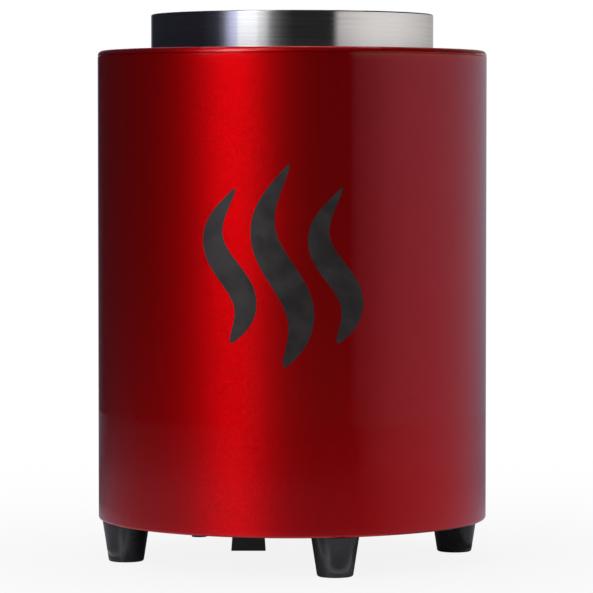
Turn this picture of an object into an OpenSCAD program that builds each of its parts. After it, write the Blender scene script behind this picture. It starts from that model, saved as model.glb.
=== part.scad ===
// Upright canister warm-air dryer: base intake, motor fan, heater spiral and a top outlet for a hose.
// Millimetres. +Z is up, the floor is z = 0 and the body's axis is x = y = 0. The front faces -Y.

/* [Body] */
// Outer diameter of the round shell
body_d = 204; // [198:1:230]
// Height from the shell's bottom edge to the top of the deck
body_h = 245.5; // [240:0.5:300]
// Sheet thickness of the shell
shell_t = 1.2; // [0.8:0.1:1.6]
// Sheet thickness of the top deck
deck_t = 1.2; // [0.8:0.1:1.6]
// Radius of the deck's rounded shoulder
shoulder_r = 2.5; // [1.5:0.1:4]
// Radius of the rolled bead along the shell's bottom edge
bead_r = 1.3; // [1:0.1:1.6]
// Height of the deck's skirt inside the shell
skirt_h = 14; // [8:1:20]

/* [Feet] */
// Height of a foot
foot_h = 20.5; // [17:0.5:26]
// Diameter of a foot where it meets the base
foot_top_d = 24.5; // [22:0.5:26]
// Diameter of a foot at the floor
foot_bottom_d = 18.5; // [16:0.5:20]
// Distance from the shell's outer face to a foot's top edge
foot_edge_gap = 0.5; // [0.5:0.5:2]
// Angle of the first foot, from the front towards +X
foot_turn = 14; // [10:1:20]

/* [Outlet] */
// Outer diameter of the outlet collar
collar_d = 148; // [146:0.5:152]
// Height of the collar above the deck
collar_h = 19; // [15:0.5:30]
// Wall of the collar
collar_t = 1.5; // [1.2:0.1:2]
// Width of the collar's flange under the deck
collar_flange_w = 13; // [11:0.5:15]
// Pitch of the outlet guard's wire rings
guard_pitch = 10; // [9:0.5:12]
// Wire diameter of the outlet guard
guard_wire_d = 2; // [1.6:0.1:2.4]

/* [Base and filter] */
// Thickness of the base plate
base_t = 2; // [1.6:0.1:3]
// Diameter of the intake opening
intake_d = 122; // [112:1:126]
// Thickness of the filter cover
cover_t = 2.5; // [2:0.1:3]
// Inside height of the filter cover's cup
cup_h = 11.5; // [9:0.5:13]
// Angle that the filter cover turns between locked and free
cover_turn = 25; // [23:1:30]
// Width of an intake slot
slot_w = 5; // [4:0.5:6]
// Width of the web between two intake slots
slot_web = 3; // [2.5:0.5:4]
// Width of a finger tab at its free end
tab_w = 17.6; // [14:0.1:20]
// Drop of a finger tab below the cover
tab_h = 8.2; // [5:0.1:9]
// Thickness of a finger tab
tab_t = 7; // [5:0.5:9]
// Angle of the first finger tab, from the front towards +X
tab_turn = -22; // [-30:1:-10]
// Air gap between the filter cover's cup and the intake guard
guard_rise = 6.3; // [4:0.1:10]
// Thickness of the lint filter
filter_t = 7; // [4:0.5:9]

/* [Duct] */
// Bore of the inner duct
duct_d = 140; // [136:1:142]
// Sheet thickness of the duct
duct_t = 1; // [0.8:0.1:1.2]
// Height of the bay between the base plate and the top of the bulkhead ring
bay_h = 109.5; // [107:0.5:120]
// Sheet thickness of the bulkhead ring
ring_t = 1.2; // [1:0.1:1.6]
// Thickness of the motor spider
spider_t = 4; // [3:0.5:5]
// Width of a spider arm
spider_arm_w = 12; // [9:0.5:14]

/* [Motor and fan] */
// Diameter of the motor housing
motor_d = 62; // [58:1:64]
// Height of the motor
motor_h = 58; // [56:1:62]
// Diameter of the motor shaft
shaft_d = 8; // [7:0.1:8.4]
// Outer diameter of a motor bearing
bearing_d = 22; // [21:0.5:23]
// Width of a motor bearing
bearing_w = 7; // [6:0.5:8]
// Number of fan blades
blades = 7; // [5:1:8]
// Clearance between blade tip and duct
tip_gap = 2; // [1.5:0.5:4]
// Angle of a blade to the plane of rotation
blade_pitch = 35; // [28:1:40]
// Diameter of the fan hub
hub_d = 50; // [46:1:54]

/* [Heater] */
// Diameter of the sheathed heater tube
heater_tube_d = 6.4; // [5.5:0.1:7]
// Spacing of the heater spiral's turns
heater_pitch = 10; // [8.5:0.5:10]
// Turns of the heater spiral
heater_turns = 4; // [3:1:4]
// Distance from the spiral's outermost turn to the duct's wall
heater_margin = 10; // [10:0.5:12]
// Height of the heater above the bulkhead ring
heater_rise = 73; // [66:1:84]

/* [Control panel] */
// Width of the window in the shell
window_w = 62; // [60:1:66]
// Height of the window in the shell
window_h = 86; // [84:1:88]
// Height of the window's lower edge above the base plate
window_rise = 15.5; // [15:0.5:18]
// Depth of the panel's face below the shell's outermost point
panel_depth = 10.8; // [9:0.2:13]
// Wall of the control panel's tray
tray_t = 1.8; // [1.5:0.1:2.2]
// Diameter of the selector knob
knob_d = 28; // [24:1:30]
// Height of the selector knob
knob_h = 11.5; // [10:0.5:13]
// Full angle that the rocker tips through
rocker_swing = 16; // [12:1:18]

/* [Hidden] */
$fn = 96;

// Clearances
fit = 0.2;          // between fixed pieces that slide together
press = 0.02;       // between pressed pieces
run = 0.05;         // running clearance of shafts, bushings and balls
air = 0.3;          // between pieces that move past each other
eps = 0.5;          // overshoot of a cut

// Heights of the housing
z_base0 = foot_h;
z_base1 = z_base0 + base_t;
z_shell0 = z_base0 + fit;
z_top = foot_h + body_h;
z_deck0 = z_top - deck_t;
z_lip = z_top - shoulder_r - 0.1;
z_seam = z_lip - 0.3;
z_collar1 = z_top + collar_h;

// Radii of the housing
shell_r = body_d / 2;
shell_ri = shell_r - shell_t;
base_r = shell_r - 2 * bead_r - fit;
collar_r = collar_d / 2;
collar_ri = collar_r - collar_t;
collar_step_r = collar_r + 0.6;
collar_step_h = 0.3;
collar_flange_t = 1.5;
duct_ri = duct_d / 2;
duct_ro = duct_ri + duct_t;
duct_rim_w = 3.5;
collar_flange_r = max(collar_r, duct_ro + duct_rim_w) + collar_flange_w;
deck_screw_inset = 6;
deck_screw_r = collar_flange_r - deck_screw_inset;
deck_screws_n = 6;
deck_screw_turns = [for (i = [0:deck_screws_n - 1]) 30 + i * 360 / deck_screws_n];
foot_ring_r = shell_r - foot_edge_gap - foot_top_d / 2;
foot_turns = [for (i = [0:3]) foot_turn + 90 * i];
foot_seat_t = 7;
z_foot_seat = foot_h - foot_seat_t;
bracket_turns = [for (i = [0:3]) foot_turn + 45 + 90 * i];
bracket_r = base_r - 8;
bracket_w = 16;
bracket_h = 18;
bracket_leg_t = 2.5;

// Screws: shank radius, loose hole, head radius and head height of the M4 and the M3 size
m4_r = 2;
m4_hole = m4_r + fit;
m4_head_r = 3.8;
m4_head_h = 2.4;
low_head_h = 1.4;   // low head of the base screws, hidden behind the shell's edge
m4_nut_r = 4.04;
m4_nut_h = 3.2;
m3_r = 1.5;
m3_hole = m3_r + fit;
m3_head_r = 2.8;
m3_head_h = 1.6;
past_nut = 1;       // length of a screw that stands past its nut
sink_h = deck_t - 0.2;
sink_r = m4_head_r - 0.3;

// Duct, ring and spider
z_ring1 = z_base1 + bay_h;
z_ring0 = z_ring1 - ring_t;
z_spider1 = z_ring0;
z_spider0 = z_spider1 - spider_t;
z_duct1 = z_deck0 - collar_flange_t;
z_flange0 = z_duct1 - duct_t;
duct_foot_w = 10;
duct_screw_r = duct_ri + 6;
ring_skirt_h = 9;
spider_turns = [45, 135, 225, 315];

// Motor: heights from the spider down
motor_r = motor_d / 2;
motor_wall = 1.8;
cap_t = 3;
z_motor1 = z_spider0;
z_motor0 = z_motor1 - motor_h;
z_cap0 = z_motor1 - cap_t;
shaft_r = shaft_d / 2;
bearing_r = bearing_d / 2;
boss_r = bearing_r + 3;
race_t = 1.6;
ball_ring_r = (shaft_r + bearing_r) / 2;
ball_r = (bearing_r - shaft_r) / 2 - race_t - run;
z_bearing_low = z_motor0 + cap_t + fit;
z_bearing_high = z_cap0 - fit - bearing_w;
core_h = 28;
z_core = (z_motor0 + z_motor1) / 2 - core_h / 2;
core_ri = 16.5;
core_ro = motor_r - motor_wall - 0.1;
slot_r0 = 18.5;
slot_r1 = core_ro - 3.1;
core_slot_w = 7;
winding_gap = 0.3;
end_turn_h = 5;
motor_screw_circle = motor_r - 6.5;
vent_w = 8;
vent_h = 6;
z_vent_low = z_motor0 + 6;
z_vent_high = z_cap0 - 11;

// Fan
hub_r = hub_d / 2;
hub_h = 26;
z_hub0 = z_ring1 + 6;
z_hub1 = z_hub0 + hub_h;
hub_top_t = 5;
hub_wall = 3;
tip_r = duct_ri - tip_gap;
thread_r = 3;
nut_h = 5;
blade_chord = 34;
blade_t = 2.2;
blade_camber_r = 38;

// Heater: spiral from a straight run below it, up through a double bend, round and out again
z_heater = z_ring1 + heater_rise;
heater_r = heater_tube_d / 2;
heater_bend = 7;
z_run = z_heater - 2 * heater_bend;
heater_start = 60;
heater_steps = 24;
heater_end_r = duct_ri + 14;
heater_outer_r = duct_ri - heater_margin;
heater_r0 = heater_outer_r - heater_pitch * heater_turns;
heater_growth = heater_pitch / (2 * PI);
function spiral_r(t) = heater_r0 + heater_pitch * t / 360;
function spiral_heading(t) = heater_start + t + 90 - atan(heater_growth / spiral_r(t));
function polar(r, a) = [r * cos(a), r * sin(a)];
rise_heading = polar(1, spiral_heading(0));
rise_foot = polar(heater_r0, heater_start) - heater_bend * rise_heading;
rise_turn = atan2(rise_foot[1], rise_foot[0]);
rise_out = polar(1, rise_turn);
spiral_t = 360 * heater_turns;
exit_bend = 8;
exit_heading = spiral_heading(spiral_t);
exit_lag = atan(0.99 * exit_bend / (heater_outer_r + 0.86 * exit_bend));
exit_sweep = 90 - atan(heater_growth / heater_outer_r) - exit_lag;
exit_centre = polar(heater_outer_r, heater_start + spiral_t) + polar(exit_bend, exit_heading - 90);
function exit_point(sweep) = exit_centre + polar(exit_bend, exit_heading + 90 - sweep);
exit_turn = atan2(exit_point(exit_sweep)[1], exit_point(exit_sweep)[0]);
heater_ends = [[rise_turn, z_run], [exit_turn, z_heater]];
bush_r = 5.5;
bush_collar_w = 2;

// Heater frame: arms under the spiral, straps over it, posts between them
frame_w = 3;
frame_h = 5;
frame_tab_w = 9;
frame_tab_t = 1.5;
frame_tab_drop = 8;
frame_turns = [for (i = [0:3]) rise_turn + 45 + 90 * i];
z_frame1 = z_heater - heater_r - 0.1;
z_frame0 = z_frame1 - frame_h;
z_tab_screw = z_frame0 - 4;
z_strap0 = z_heater + heater_r + 0.1;
strap_h = 3;
z_strap1 = z_strap0 + strap_h;
frame_pad_r = 3.2;
frame_post_r = 2.6;
frame_post_at = heater_outer_r + heater_r + air + frame_post_r;
frame_hub_r = 8;

// Thermostat and fuse on the duct's outer wall
thermostat_turn = 200;
fuse_turn = 225;
z_thermostat = z_heater + 0.35 * (z_flange0 - z_heater);
strip_x = duct_ro + 0.1;
strip_t = 1.2;
strip_w = 12;
strip_half = 20;
strip_screw_z = 16;

// Leads from the heater and the motor down to the circuit board
lead_hole_r = 6;
lead_r = duct_ri + duct_foot_w + lead_hole_r + 2;
lead_turn = 150;
lead_wire_r = 1.3;
lead_end = 2 * lead_wire_r;
block_pitch = 7.5;
terminal_pin_r = 2;
terminal_drop = 8;

// Filter cover and its bayonet
intake_r = intake_d / 2;
z_cover1 = z_base0 - air;
z_cover0 = z_cover1 - cover_t;
cup_ro = intake_r - 0.4;
cup_t = 2;
cup_ri = cup_ro - cup_t;
cover_r = intake_r + 7;
tab_r = cover_r - 8.2;
lug_r = intake_r + 4.5;
lug_t = 2;
z_lug0 = z_base1 + air;
lug_half = 9;
notch_half = 11.5;
lug_turns = [40, 160, 280];
guard_foot_ri = cover_r + 1;
guard_foot_ro = guard_foot_ri + 8;
guard_t = 1.2;
z_guard1 = z_cover1 + cup_h + guard_rise;
guard_screw_r = guard_foot_ri + 4.5;
guard_screw_turns = [0, 90, 180, 270];

// Control panel: window, tray and the places of the controls on it
z_window0 = z_base1 + window_rise;
z_window1 = z_window0 + window_h;
z_window = (z_window0 + z_window1) / 2;
window_corner = 8;
bezel_w = 8;
bezel_t = 1.5;
bezel_r = shell_r + fit;
y_face = shell_r - panel_depth;
panel_t = 2;
y_back = y_face - panel_t;
panel_screw_x = window_w / 2 + bezel_w / 2;
panel_screw_turn = asin(panel_screw_x / (bezel_r + bezel_t));
panel_screw_inset = 13;
panel_screw_z = [z_window0 + panel_screw_inset, z_window1 - panel_screw_inset];
panel_screw_hole = m3_hole - 0.1;
cutout_gap = 0.2;
inlet_bezel = [31, 24.5];
switch_bezel = [21, 15];
knob_r = knob_d / 2;

// Room below, between and above the inlet, the switch and the knob, shared out in these parts
room_parts = [19, 21, 10, 24];
room_unit = (window_h - inlet_bezel[1] - switch_bezel[1] - knob_d) / 74;
z_inlet = z_window0 + room_parts[0] * room_unit + inlet_bezel[1] / 2;
z_switch = z_inlet + inlet_bezel[1] / 2 + room_parts[1] * room_unit + switch_bezel[1] / 2;
z_knob = z_window1 - room_parts[3] * room_unit - knob_r;

// Inner sizes of the controls, and the board behind them
inlet_body = [27, 19.6];
inlet_cavity = [23.6, 15.6];
inlet_depth = 16;
pin_size = [4, 2];
pin_spots = [[-7, -2.5], [0, 2.5], [7, -2.5]];
switch_case = [19, 13];
switch_mouth = [17.6, 10.6];
switch_depth = 13;
rocker_depth = 6.5;
pivot_drop = 0.5;
trunnion_r = 1.2;
bushing_r = 4.5;
bushing_h = 4;
selector_r = 11;
selector_depth = 13;
selector_nut_r = 6.9;
selector_nut_h = 2.2;
selector_shaft_r = 3;
shaft_hold = 8.8;
knob_top_t = 2.4;
knob_mark_h = 1;
terminal_t = 0.8;
terminal_w = 4.8;
board_size = [window_w - 6, window_h - 8];
board_gap = 25.6;
y_board1 = y_back - board_gap;
board_t = 1.6;
y_board0 = y_board1 - board_t;
post_r = 3;
post_inset = 4;
post_spots = [for (x = [-1, 1], z = [-1, 1])
    [x * (board_size[0] / 2 - post_inset), z_window + z * (board_size[1] / 2 - post_inset)]];
block_inset = 9;
z_block = z_window + board_size[1] / 2 - block_inset;
block_size = [38, 11];
block_t = 12;

// Plain shapes
module at_turn(radius, turn) {
    rotate([0, 0, turn - 90]) translate([radius, 0, 0]) children();
}
module at_turns(radius, turns) {
    for (turn = turns) at_turn(radius, turn) children();
}
module disc(r, z0, z1) {
    translate([0, 0, z0]) cylinder(r = r, h = z1 - z0);
}
// The cut of a round hole through a sheet that lies from z0 to z1
module hole(r, z0, z1) {
    disc(r, z0 - eps, z1 + eps);
}
module ring(r_out, r_in, z0, z1) {
    difference() {
        disc(r_out, z0, z1);
        hole(r_in, z0, z1);
    }
}
// A block between two radii, half degrees to each side of the local X
module sector(r0, r1, half, z0, z1) {
    rotate([0, 0, -half])
        rotate_extrude(angle = 2 * half) translate([r0, z0]) square([r1 - r0, z1 - z0]);
}
module bar(x0, x1, width, z0, z1) {
    translate([x0, -width / 2, z0]) cube([x1 - x0, width, z1 - z0]);
}
function arc(centre, r, a0, a1, n) =
    [for (i = [0:n]) centre + r * [cos(a0 + (a1 - a0) * i / n), sin(a0 + (a1 - a0) * i / n)]];
function rounded(w, h, r) = concat(
    arc([w / 2 - r, h / 2 - r], r, 0, 90, 6), arc([r - w / 2, h / 2 - r], r, 90, 180, 6),
    arc([r - w / 2, r - h / 2], r, 180, 270, 6), arc([w / 2 - r, r - h / 2], r, 270, 360, 6));
// A rounded prism along Y, its outline in X and Z about (0, z)
module window_prism(w, h, r, z, y0, y1) {
    translate([0, y1, z]) rotate([90, 0, 0]) linear_extrude(height = y1 - y0) polygon(rounded(w, h, r));
}
// A box along Y about (x, z)
module panel_box(size, x, z, y0, y1) {
    translate([x - size[0] / 2, y0, z - size[1] / 2]) cube([size[0], y1 - y0, size[1]]);
}
// A cylinder along Y about (x, z)
module panel_rod(r, x, z, y0, y1) {
    translate([x, y1, z]) rotate([90, 0, 0]) cylinder(r = r, h = y1 - y0);
}
// A cylinder along the local X, from x0 to x1 at height z
module radial_rod(r, x0, x1, z) {
    translate([x0, 0, z]) rotate([0, 90, 0]) cylinder(r = r, h = x1 - x0);
}
// A screw that points up, its head's underside at z0 and its tip at z1
module screw_up(shank_r, head_r, head_h, z0, z1) {
    cross_l = head_r * 1.1;
    cross_w = 1;
    disc(shank_r, z0 - eps, z1);
    difference() {
        disc(head_r, z0 - head_h, z0);
        for (size = [[cross_l, cross_w], [cross_w, cross_l]])
            translate([-size[0] / 2, -size[1] / 2, z0 - head_h - eps]) cube([size[0], size[1], 1 + eps]);
    }
}
module hex_nut(r, bore, z0, z1) {
    difference() {
        translate([0, 0, z0]) cylinder(r = r, h = z1 - z0, $fn = 6);
        hole(bore, z0, z1);
    }
}
// Places its children at each screw of the control panel, the local X pointing out
module at_panel_screws(radius) {
    for (s = [-1, 1], z = panel_screw_z)
        at_turn(radius, 180 + s * panel_screw_turn) translate([0, 0, z]) children();
}

// Housing
module shell_profile() {
    bead_c = [shell_r - bead_r, z_shell0 + bead_r];
    polygon(concat(
        [[shell_r - 0.3, z_seam], [shell_r, z_seam - 0.3]],
        arc(bead_c, bead_r, 0, -270, 18),
        [[shell_ri, bead_c[1] + bead_r], [shell_ri, z_seam]]));
}
module body_shell() {
    color([0.72, 0.02, 0.05])
        difference() {
            rotate_extrude() shell_profile();
            window_prism(window_w, window_h, window_corner, z_window, y_face - 30, shell_r + eps);
            at_panel_screws(0) radial_rod(panel_screw_hole, shell_ri - 4, shell_r + eps, 0);
        }
}
module top_deck() {
    skirt_ro = shell_ri - fit;
    hole_r = collar_step_r + fit;
    color([0.72, 0.02, 0.05])
        difference() {
            rotate_extrude()
                polygon(concat(
                    [[hole_r, z_top]],
                    arc([shell_r - shoulder_r, z_top - shoulder_r], shoulder_r, 90, 0, 8),
                    [[shell_r, z_lip], [skirt_ro, z_lip], [skirt_ro, z_top - skirt_h],
                     [skirt_ro - deck_t, z_top - skirt_h], [skirt_ro - deck_t, z_deck0], [hole_r, z_deck0]]));
            at_turns(deck_screw_r, deck_screw_turns) {
                hole(m4_hole, z_deck0, z_top);
                translate([0, 0, z_top - sink_h]) cylinder(r1 = m4_hole, r2 = sink_r + run, h = sink_h);
            }
        }
}
module deck_screws() {
    cross_h = 0.7;
    color("silver")
        at_turns(deck_screw_r, deck_screw_turns)
            difference() {
                union() {
                    disc(m4_r, z_flange0 - m4_nut_h - past_nut, z_top - sink_h);
                    translate([0, 0, z_top - sink_h]) cylinder(r1 = m4_r, r2 = sink_r, h = sink_h);
                }
                for (size = [[4, 0.8], [0.8, 4]])
                    translate([-size[0] / 2, -size[1] / 2, z_top - cross_h]) cube([size[0], size[1], 1]);
            }
}
module deck_nuts() {
    color("silver")
        at_turns(deck_screw_r, deck_screw_turns)
            hex_nut(m4_nut_r, m4_r + run, z_flange0 - m4_nut_h, z_flange0);
}
// A flanged spigot with a rolled lip; a shallow shoulder centres it in the deck's hole
module outlet_collar() {
    lip_r = collar_t / 2 - 0.05;
    color([0.8, 0.82, 0.85])
        difference() {
            rotate_extrude()
                polygon(concat(
                    [[collar_ri, z_duct1], [collar_flange_r, z_duct1], [collar_flange_r, z_deck0],
                     [collar_step_r, z_deck0], [collar_step_r, z_top + collar_step_h],
                     [collar_r, z_top + collar_step_h]],
                    arc([collar_r - lip_r, z_collar1 - lip_r], lip_r, 0, 90, 5),
                    arc([collar_ri + lip_r, z_collar1 - lip_r], lip_r, 90, 180, 5)));
            at_turns(deck_screw_r, deck_screw_turns) hole(m4_hole, z_duct1, z_deck0);
        }
}
// Concentric wire rings on three flat cross bars, held in the collar
module outlet_guard() {
    wire_r = guard_wire_d / 2;
    rim_wire_r = 1.2;
    bar_h = rim_wire_r + 0.4;
    bar_w = guard_wire_d * 1.25;
    rim_r = collar_ri - rim_wire_r - fit;
    z_wire = z_duct1 + rim_wire_r;
    color([0.75, 0.76, 0.78])
        union() {
            for (r = [guard_pitch:guard_pitch:rim_r - guard_pitch * 0.8])
                rotate_extrude() translate([r, z_wire]) circle(wire_r);
            rotate_extrude() translate([rim_r, z_wire]) circle(rim_wire_r);
            for (i = [0:2])
                rotate([0, 0, 60 * i]) bar(-rim_r, rim_r, bar_w, z_duct1, z_duct1 + bar_h);
            disc(guard_pitch * 0.6, z_duct1, z_wire + wire_r);
        }
}

// Base: a plate with a stiffening bead, three notches for the cover's lugs and a stop beside each lug
module base_plate() {
    bead_w = 3;
    bead_h = 1.5;
    bead_ri = (guard_foot_ro + foot_ring_r - m4_nut_r - bead_w) / 2;
    stop_half = 1.5;
    stop_r0 = intake_r + 0.8;
    stop_r1 = stop_r0 + 3.4;
    color([0.13, 0.13, 0.14])
        difference() {
            union() {
                disc(base_r, z_base0, z_base1);
                ring(bead_ri + bead_w, bead_ri, z_base1 - 0.2, z_base1 + bead_h);
                for (turn = lug_turns)
                    at_turn(0, turn + lug_half + 2 * stop_half)
                        sector(stop_r0, stop_r1, stop_half, z_base1 - 0.2, z_lug0 + lug_t);
            }
            hole(intake_r, z_base0, z_lug0 + lug_t);
            for (turn = lug_turns)
                at_turn(0, turn - cover_turn)
                    sector(intake_r - 1, lug_r + 0.5, notch_half, z_base0 - eps, z_base1 + eps);
            at_turns(foot_ring_r, foot_turns) hole(m4_hole, z_base0, z_base1);
            at_turns(bracket_r, bracket_turns) hole(m4_hole, z_base0, z_base1);
            at_turns(guard_screw_r, guard_screw_turns) hole(m3_hole, z_base0, z_base1);
        }
}
// An angle bracket: one leg lies on the base plate, the other stands against the shell
module base_brackets() {
    leg_r0 = (guard_foot_ro + bracket_r) / 2;
    z_leg1 = z_base1 + bracket_leg_t;
    z_upright1 = z_base1 + bracket_h;
    color([0.6, 0.6, 0.62])
        for (turn = bracket_turns)
            intersection() {
                disc(shell_ri - 0.1, z_base1, z_upright1);
                at_turn(0, turn)
                    difference() {
                        union() {
                            bar(leg_r0, base_r - fit, bracket_w, z_base1, z_leg1);
                            bar(base_r - 1.4, shell_r, bracket_w, z_shell0 + 2 * bead_r + air, z_upright1);
                        }
                        translate([bracket_r, 0, 0]) hole(m4_r + run, z_base1, z_leg1);
                    }
            }
}
module base_screws() {
    color("silver")
        at_turns(bracket_r, bracket_turns)
            screw_up(m4_r, m4_head_r, low_head_h, z_base0, z_base1 + 2 * bracket_leg_t);
}
// A pressed guard over the cup: a rim, a flange on the base plate, and rings on three cross bars
module intake_guard() {
    ring_pitch = 12;
    ring_w = 2.2;
    centre_r = 8;
    cross_w = 3;
    color([0.5, 0.5, 0.52])
        difference() {
            union() {
                ring(guard_foot_ro, guard_foot_ri, z_base1, z_base1 + guard_t);
                ring(guard_foot_ri + guard_t, guard_foot_ri, z_base1, z_guard1);
                translate([0, 0, z_guard1 - guard_t])
                    linear_extrude(height = guard_t)
                        union() {
                            for (r = [guard_foot_ri + guard_t / 2:-ring_pitch:centre_r + 6])
                                difference() {
                                    circle(r);
                                    circle(r - ring_w);
                                }
                            circle(centre_r);
                            for (i = [0:2])
                                rotate(60 * i) square([2 * guard_foot_ri, cross_w], center = true);
                        }
            }
            at_turns(guard_screw_r, guard_screw_turns) hole(m3_r + run, z_base1, z_base1 + guard_t);
        }
}
module guard_screws() {
    color("silver")
        at_turns(guard_screw_r, guard_screw_turns)
            screw_up(m3_r, m3_head_r, m3_head_h, z_base0, z_base1 + guard_t + past_nut);
}

// A tapered rubber foot with a rounded lower edge and a counterbore for its screw
module foot(turn) {
    edge_r = 1.2;
    bore_r = m4_head_r + 0.7;
    slope = atan((foot_top_d - foot_bottom_d) / 2 / foot_h);
    color([0.09, 0.09, 0.1])
        at_turn(foot_ring_r, turn)
            rotate_extrude()
                polygon(concat(
                    [[m4_hole, foot_h], [foot_top_d / 2, foot_h]],
                    arc([foot_bottom_d / 2 - edge_r, edge_r], edge_r, -slope, -90, 6),
                    [[bore_r, 0], [bore_r, z_foot_seat], [m4_hole, z_foot_seat]]));
}
module foot_front() { foot(foot_turns[0]); }
module foot_right() { foot(foot_turns[1]); }
module foot_back() { foot(foot_turns[2]); }
module foot_left() { foot(foot_turns[3]); }
module foot_screws() {
    color("silver")
        at_turns(foot_ring_r, foot_turns)
            screw_up(m4_r, m4_head_r, m4_head_h, z_foot_seat, z_base1 + m4_nut_h + past_nut);
}
module foot_nuts() {
    color("silver")
        at_turns(foot_ring_r, foot_turns) hex_nut(m4_nut_r, m4_r + run, z_base1, z_base1 + m4_nut_h);
}

// Filter cover: a slotted disc with a cup, three bayonet lugs and two finger tabs
module finger_tab() {
    top_w = tab_w * 0.93;
    translate([0, tab_t / 2, z_cover0 - tab_h])
        rotate([90, 0, 0])
            linear_extrude(height = tab_t)
                polygon([[-tab_w / 2, 0], [tab_w / 2, 0],
                         [top_w / 2, tab_h + 0.2], [-top_w / 2, tab_h + 0.2]]);
}
module filter_cover() {
    spoke_w = 6;
    spoke_turn = 8;
    tab_spot = [tab_r * sin(tab_turn), -tab_r * cos(tab_turn), 0];
    color([0.1, 0.1, 0.11])
        union() {
            difference() {
                disc(cover_r, z_cover0, z_cover1);
                for (r = [slot_web * 3:slot_w + slot_web:cup_ri - slot_w - 1])
                    difference() {
                        ring(r + slot_w, r, z_cover0 - eps, z_cover1 + eps);
                        for (i = [0:2])
                            rotate([0, 0, 60 * i + spoke_turn])
                                bar(-cover_r, cover_r, spoke_w, z_cover0 - 2 * eps, z_cover1 + 2 * eps);
                    }
            }
            ring(cup_ro, cup_ri, z_cover1 - 0.2, z_cover1 + cup_h);
            at_turns(0, lug_turns) sector(cup_ro - 0.5, lug_r, lug_half, z_lug0, z_lug0 + lug_t);
            for (i = [0, 1]) rotate([0, 0, 180 * i]) translate(tab_spot) finger_tab();
        }
}
module lint_filter() {
    color([0.3, 0.3, 0.32]) disc(cup_ri - fit, z_cover1, z_cover1 + filter_t);
}

// Duct, bulkhead ring and spider
module inner_duct() {
    top_flange_r = collar_flange_r - 1;
    color([0.7, 0.71, 0.72])
        difference() {
            rotate_extrude()
                polygon([[duct_ri, z_ring1], [duct_ri + duct_foot_w, z_ring1],
                         [duct_ri + duct_foot_w, z_ring1 + duct_t], [duct_ro, z_ring1 + duct_t],
                         [duct_ro, z_flange0], [top_flange_r, z_flange0],
                         [top_flange_r, z_duct1], [duct_ri, z_duct1]]);
            at_turns(deck_screw_r, deck_screw_turns) hole(m4_hole, z_flange0, z_duct1);
            at_turns(duct_screw_r, spider_turns) hole(m4_hole, z_ring1, z_ring1 + duct_t);
            for (turn = frame_turns)
                rotate([0, 0, turn]) radial_rod(m3_hole, duct_ri - 3, duct_ro + 3, z_tab_screw);
            for (end = heater_ends) heater_wall(end) radial_rod(bush_r + 0.1, -8, 8, 0);
            rotate([0, 0, thermostat_turn])
                for (s = [-1, 1])
                    radial_rod(m3_hole, duct_ri - 3, duct_ro + 3, z_thermostat + s * strip_screw_z);
        }
}
module bulkhead_ring() {
    skirt_ro = shell_ri - fit;
    skirt_ri = skirt_ro - ring_t;
    z_skirt1 = z_ring1 + ring_skirt_h;
    color([0.62, 0.63, 0.65])
        difference() {
            rotate_extrude()
                polygon([[duct_ri, z_ring0], [skirt_ro, z_ring0], [skirt_ro, z_skirt1],
                         [skirt_ri, z_skirt1], [skirt_ri, z_ring1], [duct_ri, z_ring1]]);
            at_turns(duct_screw_r, spider_turns) hole(m4_hole, z_ring0, z_ring1);
            at_turn(lead_r, lead_turn) hole(lead_hole_r, z_ring0, z_ring1);
        }
}
module motor_spider() {
    color([0.45, 0.46, 0.48])
        difference() {
            union() {
                disc(motor_r + 3, z_spider0, z_spider1);
                at_turns(0, spider_turns) bar(0, duct_screw_r, spider_arm_w, z_spider0, z_spider1);
                at_turns(duct_screw_r, spider_turns) disc(spider_arm_w / 2, z_spider0, z_spider1);
            }
            hole(bearing_r, z_spider0, z_spider1);
            at_turns(duct_screw_r, spider_turns) hole(m4_hole, z_spider0, z_spider1);
            at_turns(motor_screw_circle, spider_turns) hole(m3_hole, z_spider0, z_spider1);
        }
}
module duct_screws() {
    color("silver")
        at_turns(duct_screw_r, spider_turns)
            screw_up(m4_r, m4_head_r, m4_head_h, z_spider0, z_ring1 + duct_t + m4_nut_h + past_nut);
}
module duct_nuts() {
    z_seat = z_ring1 + duct_t;
    color("silver")
        at_turns(duct_screw_r, spider_turns) hex_nut(m4_nut_r, m4_r + run, z_seat, z_seat + m4_nut_h);
}

// Motor
module motor_housing() {
    color([0.55, 0.56, 0.58])
        union() {
            difference() {
                disc(motor_r, z_motor0, z_cap0);
                disc(motor_r - motor_wall, z_motor0 + cap_t, z_cap0 + eps);
                hole(shaft_r + 1, z_motor0, z_motor0 + cap_t);
                for (i = [0:7])
                    rotate([0, 0, 45 * i]) {
                        bar(motor_r - 4, motor_r + 2, vent_w, z_vent_low, z_vent_low + vent_h);
                        bar(motor_r - 4, motor_r + 2, vent_w, z_vent_high, z_vent_high + vent_h);
                        bar(boss_r + 2, motor_r - 5, 5, z_motor0 - eps, z_motor0 + cap_t + eps);
                    }
            }
            ring(boss_r, bearing_r + press, z_motor0 + cap_t - 0.1, z_bearing_low + bearing_w);
        }
}
module motor_end_cap() {
    lip_ro = motor_r - motor_wall - 0.1;
    lip_w = 1.7;
    color([0.55, 0.56, 0.58])
        difference() {
            union() {
                disc(motor_r, z_cap0, z_motor1);
                ring(boss_r, bearing_r + press, z_cap0 - bearing_w - fit, z_cap0 + 0.1);
                ring(lip_ro, lip_ro - lip_w, z_cap0 - 3, z_cap0 + 0.1);
            }
            hole(shaft_r + 1, z_cap0, z_motor1);
            at_turns(motor_screw_circle, spider_turns) hole(m3_r + run, z_cap0, z_motor1);
        }
}
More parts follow.
